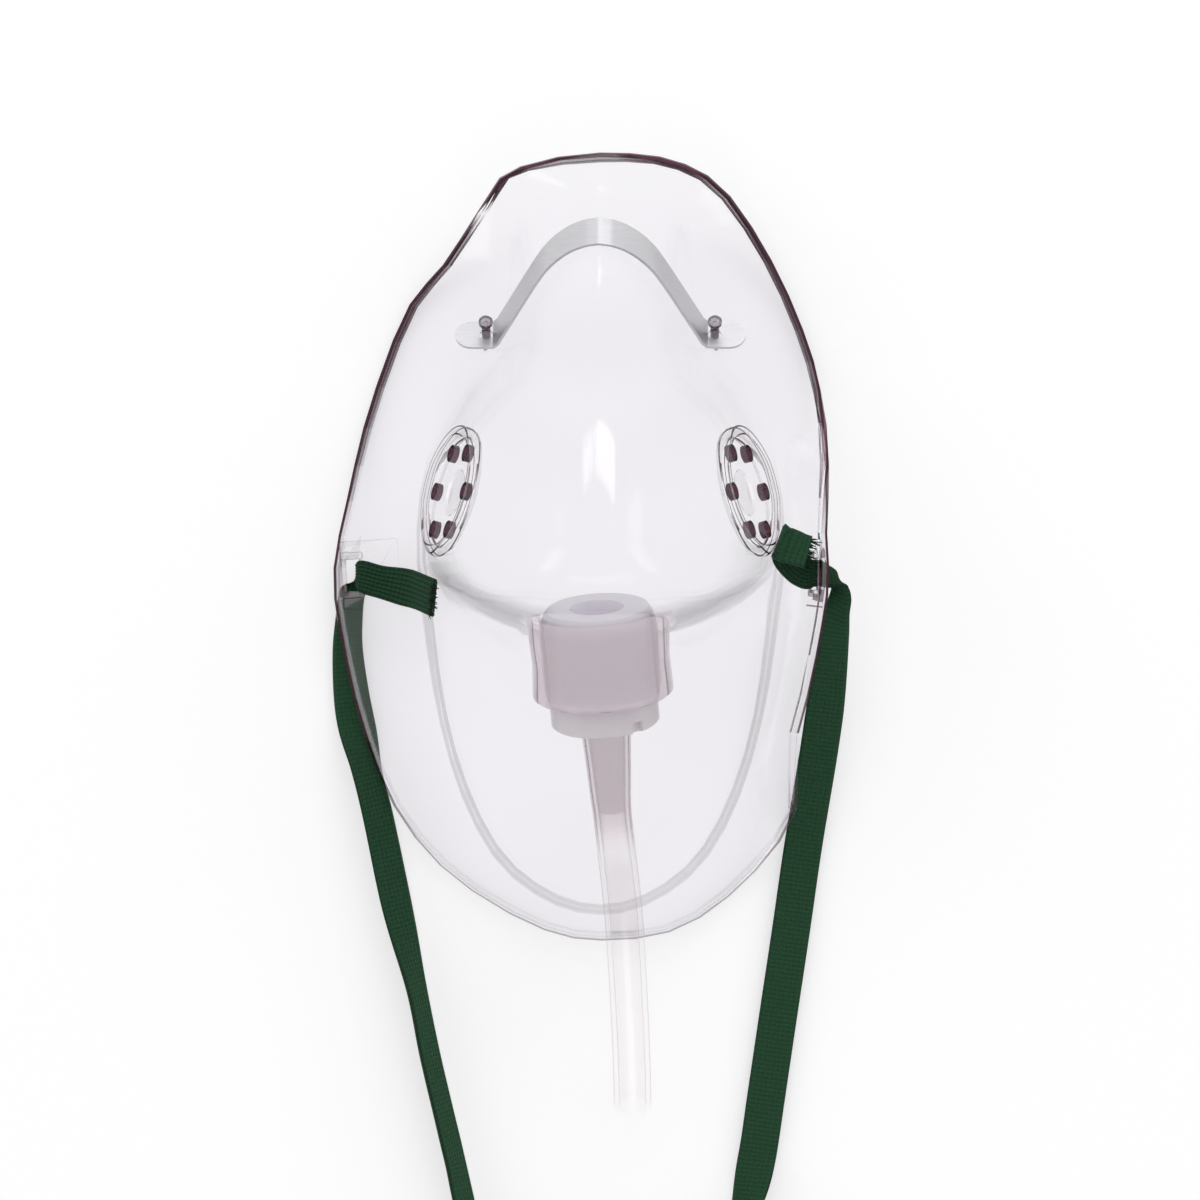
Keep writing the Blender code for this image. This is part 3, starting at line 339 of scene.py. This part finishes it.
def clear_nodes(owner):
    """Empty the nodes of a material or the world, and give a wire to build them with."""
    owner.use_nodes = True
    owner.node_tree.nodes.clear()
    return Wire(owner.node_tree)


def new_material(name):
    material = bpy.data.materials.new(name)
    return material, clear_nodes(material)


def finish_material(wire, surface):
    wire.node("ShaderNodeOutputMaterial", {}, {"Surface": surface})


def object_place(wire):
    return wire.node("ShaderNodeTexCoord", output=3)


def edge_on(wire):
    """0 where a surface is seen face on, 1 where it is seen edge on."""
    return wire.node("ShaderNodeLayerWeight", {}, {"Blend": 0.5}, output=1)


def in_view(wire):
    """1 for the camera, in gloss and through clear plastic, and 0 where the surface lights the object."""
    share = wire.node("ShaderNodeLightPath", output="Is Camera Ray")
    for ray in ("Is Glossy Ray", "Is Transmission Ray"):
        share = wire.maths("MAXIMUM", share, wire.node("ShaderNodeLightPath", output=ray))
    return share


def clear_shader(wire, tint, sheet_tint, edge_share, edge_start, roughness, milky, thick_shade=0.0, normal=None):
    """Clear plastic: light passes straight through, the wall dims where seen edge on, and painted shade darkens
    thick parts.

    It turns pale and cloudy where milky is 1.
    """
    edge = edge_on(wire)
    sheet = edge.fitted(edge_start, EDGE_END) * edge_share + edge ** EDGE_HAZE_POWER * EDGE_HAZE
    solid = (THICK_FACE_SHARE + (1.0 - THICK_FACE_SHARE) * edge.fitted(*THICK_SPAN)) * thick_shade
    cloudy = edge.fitted(*MILKY_SPAN)
    colour = wire.blend(sheet.fitted(*SHEET_TINT_SPAN), (1.0, 1.0, 1.0, 1.0), sheet_tint)
    colour = wire.blend(edge.fitted(*CONTOUR_SPAN), colour, CONTOUR_COLOUR)
    # Painted shade on the parts marked thick.
    colour = wire.blend(solid.fitted(*THICK_SHADE_SPAN), colour, THICK_SHADE_COLOUR)
    colour = wire.blend(milky, colour, wire.blend(cloudy, MILKY_COLOUR, MILKY_EDGE_COLOUR))
    inputs = {"Base Color": colour, "Metallic": 1.0, "Roughness": roughness}
    if normal is not None:
        inputs["Normal"] = normal
    gloss = wire.node("ShaderNodeBsdfPrincipled", {}, inputs)
    through = wire.node("ShaderNodeBsdfTransparent", {}, {"Color": tint})
    cover = wire.maths("MAXIMUM", sheet, solid)
    cover = wire.maths("MAXIMUM", cover, milky * (MILKY_SHARE + cloudy * MILKY_EDGE_SHARE))
    share = FACE_GLOSS + (MOST_GLOSS - FACE_GLOSS) * wire.maths("MINIMUM", cover, 1.0)
    return wire.node("ShaderNodeMixShader", {}, {0: share, 1: through, 2: gloss})


def collar_share(wire, place):
    """1 in the milky collar round the port's axis, 0 elsewhere."""
    from_start = wire.vector("SUBTRACT", place, port_point(0.0) + SHIFT)
    axis = port_point(1.0) - port_point(0.0)
    along = wire.vector("DOT_PRODUCT", from_start, axis, output=1)
    out = wire.vector("LENGTH", wire.vector("CROSS_PRODUCT", from_start, axis), output=1)
    length = along.fitted(*COLLAR_START) * along.fitted(*COLLAR_END)
    return length * out.fitted(*COLLAR_INSIDE) * out.fitted(*COLLAR_OUTSIDE)


def make_clear_vinyl():
    """Clear vinyl. Painted shade marked on the moulding is joined by painted shade on the vents' ring lines and
    the slots' ends.
    """
    material, wire = new_material("clear_vinyl")
    place = object_place(wire)
    ripple = wire.bump(wire.noise(place, scale=60.0, detail=2.0), distance=0.0005, strength=0.30)
    thick_shade = wire.node("ShaderNodeAttribute", {"attribute_name": "thick_shade"}, output=2)
    for side in (1, -1):
        vent = Vector((side * VENT_X, VENT_Y, VENT_Z)) + SHIFT
        distance = wire.vector("DISTANCE", place, vent, output=1)
        # Painted shade along the vents' ring lines.
        for radius in VENT_LINES:
            line = wire.maths("ABSOLUTE", distance - radius).fitted(*VENT_LINE_SPAN)
            thick_shade = wire.maths("MAXIMUM", thick_shade, line * VENT_LINE_SHADE)
    # Painted shade at both ends of each strap slot.
    for slot in STRAP_SLOTS:
        for end in (SLOT_BLOCK_Y, -SLOT_BLOCK_Y):
            beside = Vector((math.copysign(SLOT_BLOCK_X, slot[0]), end, 0.0))
            block = wire.vector("DISTANCE", place, Vector(slot) + beside + SHIFT, output=1)
            thick_shade = wire.maths("MAXIMUM", thick_shade, block.fitted(*SLOT_BLOCK_SPAN) * SLOT_BLOCK_SHADE)
    finish_material(wire, clear_shader(wire, **VINYL, milky=collar_share(wire, place), thick_shade=thick_shade, normal=ripple))
    return material


def make_clear_tubing():
    """Clear tubing, cloudy where it lies over the stem."""
    material, wire = new_material("clear_tubing")
    over_stem = object_place(wire).axis(1).fitted(*STEM_REACH)
    finish_material(wire, clear_shader(wire, **TUBING, milky=over_stem))
    return material


def make_milky_plastic():
    """Milky plastic, with painted light that makes the plug's end inside the mask paler."""
    material, wire = new_material("milky_plastic")
    place = object_place(wire)
    colour = wire.blend(wire.noise(place, scale=160.0, detail=3.0), PLUG_DEEP_COLOUR, PLUG_COLOUR)
    # Painted light: the plug's end inside the mask is made paler.
    colour = wire.blend(place.axis(1).fitted(*PLUG_LIT_REACH), colour, PLUG_LIT_COLOUR)
    grain = wire.bump(wire.noise(place, scale=900.0, detail=2.0), distance=0.0001, strength=0.3)
    shader = wire.node("ShaderNodeBsdfPrincipled", {}, {
        "Base Color": colour, "Roughness": 0.34, "Subsurface Weight": 0.6, "Subsurface Radius": PLUG_DEPTH,
        "Subsurface Scale": 1.0, "Normal": grain})
    finish_material(wire, shader)
    return material


def make_soft_aluminium():
    """Soft aluminium, brushed along the strip, and darker where seen face on by painted shade."""
    material, wire = new_material("soft_aluminium")
    place = wire.node("ShaderNodeMapping", {}, {"Vector": object_place(wire), "Scale": CLIP_BRUSH})
    streak = wire.noise(place, scale=4.0, detail=4.0, roughness=0.6)
    colour = wire.blend(streak, CLIP_DARK_COLOUR, CLIP_COLOUR)
    # Painted shade: darker where the strip is seen face on, standing in for a dimmer reflection.
    colour = wire.blend(edge_on(wire).fitted(*CLIP_FACE_SHADE_SPAN), CLIP_FACE_SHADE_COLOUR, colour)
    smoothest, spread = CLIP_ROUGHNESS
    shader = wire.node("ShaderNodeBsdfPrincipled", {}, {
        "Base Color": colour, "Metallic": 1.0, "Roughness": smoothest + streak * spread,
        "Normal": wire.bump(streak, distance=0.00005, strength=0.4)})
    finish_material(wire, shader)
    return material


def make_green_elastic():
    """Knitted elastic. The UV map runs 0 to 1 across the band, and in rows of stitches along it."""
    material, wire = new_material("green_elastic")
    uv = wire.node("ShaderNodeUVMap", {"uv_map": "knit"})
    place = object_place(wire)
    ridge = wire.maths("PINGPONG", uv.axis(0) * STRAP_RIBS, 0.5) * 2.0
    row = wire.maths("PINGPONG", uv.axis(1) + ridge * STITCH_SLANT, 0.5) * 2.0
    stitch = row.fitted(*STITCH_SPAN)
    rib = ridge.fitted(*RIB_SPAN)
    fuzz = wire.noise(place, scale=2600.0, detail=3.0, roughness=0.7)
    wear = wire.noise(place, scale=55.0, detail=3.0, roughness=0.6)
    shaded_groove = wire.blend(wear, *SHADED_GROOVE_COLOURS)
    yarn = wire.blend(fuzz, *YARN_COLOURS)
    # Painted shade: the grooves between the ribs and between the stitches are dark, the raised yarn is lighter.
    colour = wire.blend(GROOVE_SHADE + rib * RIB_SHADE + stitch * STITCH_SHADE, shaded_groove, yarn)
    height = rib * RIB_RISE + stitch * rib * STITCH_RISE + fuzz * FUZZ_RISE
    shader = wire.node("ShaderNodeBsdfPrincipled", {}, {
        "Base Color": colour, "Roughness": 0.85, "Specular IOR Level": 0.25, "Sheen Weight": 0.12,
        "Sheen Roughness": 0.4, "Sheen Tint": YARN_SHEEN,
        "Normal": wire.bump(height, distance=0.0003, strength=1.0)})
    finish_material(wire, shader)
    return material


def make_table():
    """White table: it takes half its white from the lamps, so that shadows show, and half from its own glow."""
    material, wire = new_material("table_white")
    shader = wire.node("ShaderNodeBsdfPrincipled", {}, {
        "Base Color": TABLE_COLOUR, "Roughness": 0.9, "Specular IOR Level": 0.0,
        "Emission Color": (1.0, 1.0, 1.0, 1.0), "Emission Strength": in_view(wire) * TABLE_GLOW})
    finish_material(wire, shader)
    return material


def smooth_step(value, start, end):
    share = min(max((value - start) / (end - start), 0.0), 1.0)
    return share * share * (3.0 - 2.0 * share)


def nearest(place, spots):
    """Distance from a place to the nearest of some spots."""
    return min((place - spot).length for spot in spots)


def through_points(points, steps):
    """Smooth curve through the given rows, with that many steps from each to the next."""
    padded = np.vstack([2 * points[0] - points[1], points, 2 * points[-1] - points[-2]])
    rows = []
    for i in range(len(points) - 1):
        a, b, c, d = padded[i:i + 4]
        for u in np.linspace(0.0, 1.0, steps, endpoint=False):
            rows.append(0.5 * (2 * b + (c - a) * u + (2 * a - 5 * b + 4 * c - d) * u ** 2
                               + (3 * b - a - 3 * c + d) * u ** 3))
    return np.array(rows + [points[-1]])


def line_travel(points):
    """Distance gone along a line at each of its points."""
    return np.concatenate([[0.0], np.cumsum(np.linalg.norm(np.diff(points, axis=0), axis=1))])


def even_line(points, count):
    """Evenly spaced points on a smooth curve, and its length."""
    fine = through_points(np.array(points, dtype=float), TUBE_FINE_STEPS)
    travel = line_travel(fine)
    marks = np.linspace(0.0, travel[-1], count)
    return np.stack([np.interp(marks, travel, fine[:, k]) for k in range(3)], axis=1), travel[-1]


def port_point(distance):
    """Point on the port's axis, before the frame's shift."""
    level = math.cos(PORT_DROP)
    axis = Vector((math.sin(PORT_YAW) * level, -math.cos(PORT_YAW) * level, -math.sin(PORT_DROP)))
    return PORT_START + axis * distance


def add_object(name, bm, material, smooth_angle=None):
    """New smooth shaded object from a bmesh. Edges that turn more than the angle, in degrees, stay sharp."""
    mesh = bpy.data.meshes.new(name)
    for face in bm.faces:
        face.smooth = True
    if smooth_angle is not None:
        for edge in bm.edges:
            if len(edge.link_faces) == 2 and edge.calc_face_angle() > math.radians(smooth_angle):
                edge.smooth = False
    bm.to_mesh(mesh)
    bm.free()
    mesh.materials.append(material)
    obj = bpy.data.objects.new(name, mesh)
    bpy.context.scene.collection.objects.link(obj)
    return obj


def place_object(name, bm, material, smooth_angle=None):
    """New object from a bmesh drawn round the drawing's zero point, moved by the frame's shift."""
    bmesh.ops.translate(bm, verts=bm.verts, vec=SHIFT)
    return add_object(name, bm, material, smooth_angle)


def outline_part(way):
    """Number of the slice of the outline that this way points into, and how far out it reaches."""
    turn = math.atan2(way.y, way.x) / math.tau % 1.0
    return int(turn * OUTLINE_PARTS) % OUTLINE_PARTS, way.xy.length


def outline_reach(bm, middle):
    """How far out the moulding reaches in each slice of its outline, or in a slice beside it."""
    reach = [0.0] * OUTLINE_PARTS
    for vertex in bm.verts:
        part, distance = outline_part(vertex.co - middle)
        for near in (part - 1, part, (part + 1) % OUTLINE_PARTS):
            reach[near] = max(reach[near], distance)
    return reach


def bead_shade(centre, normal, way):
    """How much painted shade the bead gets: little toward the chin and on its inner half, much toward the nose."""
    top = smooth_step(centre.y, *TOP_FADE)
    share = CHIN_SHADE + (1.0 - CHIN_SHADE) * smooth_step(centre.y, *CHIN_FADE) + top
    outward = normal.xy.dot(way.xy.normalized())
    return share * (INNER_SHADE + (1.0 - INNER_SHADE) * smooth_step(outward + TOP_OUTWARD * top, *OUTER_HALF))


def mark_moulding(bm):
    """Note on each face how much painted shade darkens it: the bead, lips, studs and holes are solid, the sheet is
    clear.
    """
    tree = BVHTree.FromBMesh(bm)
    thick_shade = bm.faces.layers.float.new("thick_shade")
    over_vents = [Vector((side * VENT_X, VENT_Y, 1.0)) + SHIFT for side in (1, -1)]
    vents = [tree.ray_cast(above, Vector((0.0, 0.0, -1.0)))[0] for above in over_vents]
    slots = [Vector(slot) + SHIFT for slot in STRAP_SLOTS]
    studs = [Vector((side * STUD_X, STUD_Y)) + SHIFT.xy for side in (1, -1)]
    middle = sum((vertex.co for vertex in bm.verts), Vector()) / len(bm.verts)
    outline = outline_reach(bm, middle)
    for face in bm.faces:
        centre = face.calc_center_median()
        start = face.normal * RAY_START
        wall = tree.ray_cast(centre - start, -face.normal)[3] or 0.0
        gap = tree.ray_cast(centre + start, face.normal, HOLE_SPAN[1])[3] or 0.0
        way = centre - middle
        part, distance = outline_part(way)
        solid = face.calc_area() < BROAD_FACE and not SHEET_WALL[0] < wall < SHEET_WALL[1]
        share = 0.0
        # Painted shade on the bead, heavier toward the nose and on its outer half.
        if solid and distance > outline[part] - RIM_REACH:
            share = bead_shade(centre, face.normal, way)
        # Painted shade on the solid vent faces, and more on the hole walls.
        if nearest(centre, vents) < VENT_REACH:
            share = VENT_SHADE * solid
            if HOLE_SPAN[0] < gap < HOLE_SPAN[1]:
                share = HOLE_SHADE * (1.0 - HOLE_END_FADE * face.normal.y ** 2)
        # Painted shade on the solid lips of the slots and on the studs.
        elif solid and nearest(centre, slots) < LIP_REACH:
            share = max(share, LIP_SHADE)
        elif solid and nearest(centre.xy, studs) < STUD_REACH:
            share = STUD_SHADE
        face[thick_shade] = share


def smooth_copy(node, name, material, smooth_angle, mark=None):
    """Copy of a rigid CAD node with its corners joined, so that its curves shade smoothly."""
    bm = bmesh.new()
    bm.from_mesh(nodes[node].data)
    bmesh.ops.remove_doubles(bm, verts=bm.verts, dist=WELD_REACH)
    if mark:
        mark(bm)
    piece = add_object(name, bm, material, smooth_angle)
    shading = piece.modifiers.new("even_shading", "WEIGHTED_NORMAL")
    shading.keep_sharp = True
    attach(piece, "root")
    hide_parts(node)


def loft(rings):
    """Skin through closed rings of equal count, each ring extruded from the last.

    Extruding makes a ring's faces in any order, so they are put in the order of the rings at the end.
    """
    bm = bmesh.new()
    ends = [bm.verts.new(point) for point in rings[0]]
    edges = [bm.edges.new(pair) for pair in zip(ends, ends[1:] + ends[:1])]
    skin = []
    for ring in rings[1:]:
        grown = bmesh.ops.extrude_edge_only(bm, edges=edges)["geom"]
        fresh = {part for part in grown if isinstance(part, bmesh.types.BMVert)}
        ends = [next(edge.other_vert(vert) for edge in vert.link_edges if edge.other_vert(vert) in fresh)
                for vert in ends]
        edges = [bm.edges.get(pair) for pair in zip(ends, ends[1:] + ends[:1])]
        skin += [edge.link_faces[0] for edge in edges]
        for vert, point in zip(ends, ring):
            vert.co = point
    for number, face in enumerate(skin):
        face.index = number
    bm.faces.sort(key=lambda face: face.index)
    return bm


def ring_about(centre, side, up, radius):
    angles = [2 * math.pi * k / TUBE_SIDES for k in range(TUBE_SIDES)]
    return [centre + side * (radius * math.cos(a)) + up * (radius * math.sin(a)) for a in angles]


def build_tube(material):
    """Clear tube stretched over the connector's stem and cut off square."""
    start = port_point(PLUG_OUTER_END + SEAT_GAP)
    knee = port_point(PLUG_OUTER_END + STEM_LENGTH * 0.5)
    tip = port_point(PLUG_OUTER_END + STEM_LENGTH)
    path, length = even_line([start, knee, tip, *TUBE_ROUTE], TUBE_POINTS)
    outer = []
    inner = []
    for i, point in enumerate(path):
        ahead = Vector(path[min(i + 1, len(path) - 1)] - path[max(i - 1, 0)]).normalized()
        side = Vector((0, 0, 1)).cross(ahead).normalized()
        up = ahead.cross(side)
        gone = length * i / (len(path) - 1)
        stem = STEM_ROOT_RADIUS + (STEM_TIP_RADIUS - STEM_ROOT_RADIUS) * min(gone / STEM_LENGTH, 1.0)
        bore = max(TUBE_BORE_RADIUS, stem + SEAT_GAP)
        inner.append(ring_about(Vector(point), side, up, bore))
        outer.append(ring_about(Vector(point), side, up, bore + TUBE_RADIUS - TUBE_BORE_RADIUS))
    bm = loft(outer + inner[::-1] + [outer[0]])
    bmesh.ops.remove_doubles(bm, verts=bm.verts, dist=WELD_REACH)
    bmesh.ops.recalc_face_normals(bm, faces=bm.faces)
    tube = place_object("oxygen_tube_clear", bm, material, smooth_angle=40)
    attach(tube, "root")
    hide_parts("oxygen_tube")


def strap_share(point, on_tail):
    """Width of the band as a share of its full width: it is gathered in the slots and opens out beyond them."""
    reach = nearest(point, [Vector(slot) for slot in STRAP_SLOTS])
    if on_tail:
        near = GATHERED_SHARE + (TAIL_SHARE - GATHERED_SHARE) * smooth_step(reach, 0.0, TAIL_OPENING)
        return near + (1 - near) * smooth_step(reach, GATHER_START, TAIL_GATHER_END)
    return GATHERED_SHARE + (1 - GATHERED_SHARE) * smooth_step(reach, GATHER_START, GATHER_END)


def strap_rows():
    """Centre, width direction, face direction and width share of each row across the band."""
    keys = np.array([(*point, *width) for point, width in STRAP_ROUTE])
    line = through_points(keys, STRAP_STEPS)
    left_slot, right_slot = (np.linalg.norm(line[:, :3] - slot, axis=1).argmin() for slot in STRAP_SLOTS)
    rows = []
    for i, row in enumerate(line):
        ahead = Vector(line[min(i + 1, len(line) - 1)][:3] - line[max(i - 1, 0)][:3]).normalized()
        width = Vector(row[3:])
        width = (width - width.project(ahead)).normalized()
        face = ahead.cross(width)
        centre = Vector(row[:3])
        share = strap_share(centre, i < left_slot or i > right_slot)
        half_thick = STRAP_THICKNESS / 2 / math.sqrt(share)
        lowest = STRAP_WIDTH / 2 * share * abs(width.z) + half_thick * abs(face.z) + STRAP_LIFT
        centre.z = max(centre.z, lowest)
        rows.append((centre, width, face, share))
    return rows


def build_fray(name, end, way, material, seed):
    """Loose yarn ends that stand out of the band's cut end."""
    chance = random.Random(seed)
    centre, width, face, share = end
    out = width.cross(face).normalized() * way
    bm = bmesh.new()
    for k in range(FRAY_COUNT):
        across = (k + 0.5) / FRAY_COUNT * 2 - 1
        root = centre + width * (across * STRAP_WIDTH / 2 * share * FRAY_WIDTH_SHARE)
        root += face * (chance.uniform(-FRAY_SPREAD, FRAY_SPREAD) * STRAP_THICKNESS) - out * FRAY_ROOT_DEPTH
        lean = out + width * chance.uniform(-FRAY_LEAN_ACROSS, FRAY_LEAN_ACROSS)
        lean += face * chance.uniform(-FRAY_LEAN_UP, FRAY_LEAN_UP)
        length = FRAY_LENGTH * chance.uniform(FRAY_SHORTEST, 1.0)
        made = bmesh.ops.create_cone(bm, cap_ends=True, segments=FRAY_SIDES, radius1=FRAY_RADII[0],
                                     radius2=FRAY_RADII[1], depth=length)
        turn = lean.to_track_quat("Z", "Y").to_matrix().to_4x4()
        bmesh.ops.transform(bm, matrix=Matrix.Translation(root + lean.normalized() * length / 2) @ turn,
                            verts=made["verts"])
    fray = place_object(name, bm, material)
    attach(fray, "root")
    return fray


def build_strap(material):
    """Knitted band: a grid laid along the route, with raised ribs, then given its thickness."""
    rows = strap_rows()
    points = np.array([row[0] for row in rows])
    travel = line_travel(points)
    count = len(rows) - 1
    bm = bmesh.new()
    bmesh.ops.create_grid(bm, x_segments=STRAP_COLUMNS, y_segments=count, size=1.0)
    knit = bm.loops.layers.uv.new("knit")
    for face in bm.faces:
        for loop in face.loops:
            row = round((loop.vert.co.y + 1) / 2 * count)
            loop[knit].uv = ((loop.vert.co.x + 1) / 2, travel[row] / KNIT_PITCH)
    for vert in bm.verts:
        across = vert.co.x
        centre, width, face, share = rows[round((vert.co.y + 1) / 2 * count)]
        rib = abs(math.sin(math.pi * (across + 1) / 2 * STRAP_RIBS)) ** RIB_ROUNDING
        lift = (STRAP_THICKNESS / 2 - RIB_HEIGHT * (1 - rib)) / math.sqrt(share)
        vert.co = centre + width * (across * STRAP_WIDTH / 2 * share) + face * lift
    band = place_object("elastic_strap_knit", bm, material)
    wall = band.modifiers.new("thickness", "SOLIDIFY")
    wall.thickness = STRAP_THICKNESS - RIB_HEIGHT
    wall.offset = -1.0
    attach(band, "root")
    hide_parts("elastic_strap")
    frays = [build_fray("elastic_strap_left_fray", rows[0], -1, material, LEFT_FRAY_SEED),
             build_fray("elastic_strap_right_fray", rows[-1], 1, material, RIGHT_FRAY_SEED)]


def build_camera():
    data = bpy.data.cameras.new("overhead_camera")
    data.sensor_width = SENSOR_WIDTH
    data.lens = SENSOR_WIDTH * CAMERA_HEIGHT / (TABLE_SCALE * RENDER_WIDTH)
    data.clip_start, data.clip_end = CAMERA_CLIP
    camera = bpy.data.objects.new("overhead_camera", data)
    lean = Vector((math.tan(CAMERA_LEAN_X), math.tan(CAMERA_LEAN_Y), 1.0)) * CAMERA_HEIGHT
    camera.location = PICTURE_CENTRE + lean
    back = lean.normalized()
    right = Vector((0, 1, 0)).cross(back).normalized()
    up = back.cross(right)
    camera.rotation_euler = Matrix((right, up, back)).transposed().to_euler()
    bpy.context.scene.collection.objects.link(camera)
    bpy.context.scene.camera = camera


def add_lamp(name, place, target, power, size):
    data = bpy.data.lights.new(name, "AREA")
    data.energy = power
    data.shape = "RECTANGLE"
    data.size, data.size_y = size
    lamp = bpy.data.objects.new(name, data)
    lamp.location = place
    lamp.rotation_euler = (Vector(target) - Vector(place)).to_track_quat("-Z", "Y").to_euler()
    bpy.context.scene.collection.objects.link(lamp)


def build_studio():
    """White table, lamps, and a world that looks white and lights the object at a plain level."""
    bm = bmesh.new()
    bmesh.ops.create_grid(bm, x_segments=1, y_segments=1, size=FLOOR_SPAN)
    table = add_object("table", bm, make_table())
    for lamp in LAMPS:
        add_lamp(*lamp)
    world = bpy.data.worlds.new("studio")
    bpy.context.scene.world = world
    wire = clear_nodes(world)
    strength = WORLD_LIGHT + in_view(wire) * (1.0 - WORLD_LIGHT)
    glow = wire.node("ShaderNodeBackground", {}, {"Color": (1.0, 1.0, 1.0, 1.0), "Strength": strength})
    wire.node("ShaderNodeOutputWorld", {}, {"Surface": glow})


build_camera()
build_tube(make_clear_tubing())
build_strap(make_green_elastic())
smooth_copy("mask_shell", "mask_shell_clear", make_clear_vinyl(), smooth_angle=32, mark=mark_moulding)
smooth_copy("nose_clip", "nose_clip_strip", make_soft_aluminium(), smooth_angle=30)
smooth_copy("tube_connector", "tube_connector_milky", make_milky_plastic(), smooth_angle=30)
build_studio()
bpy.context.scene.view_settings.view_transform = "Standard"
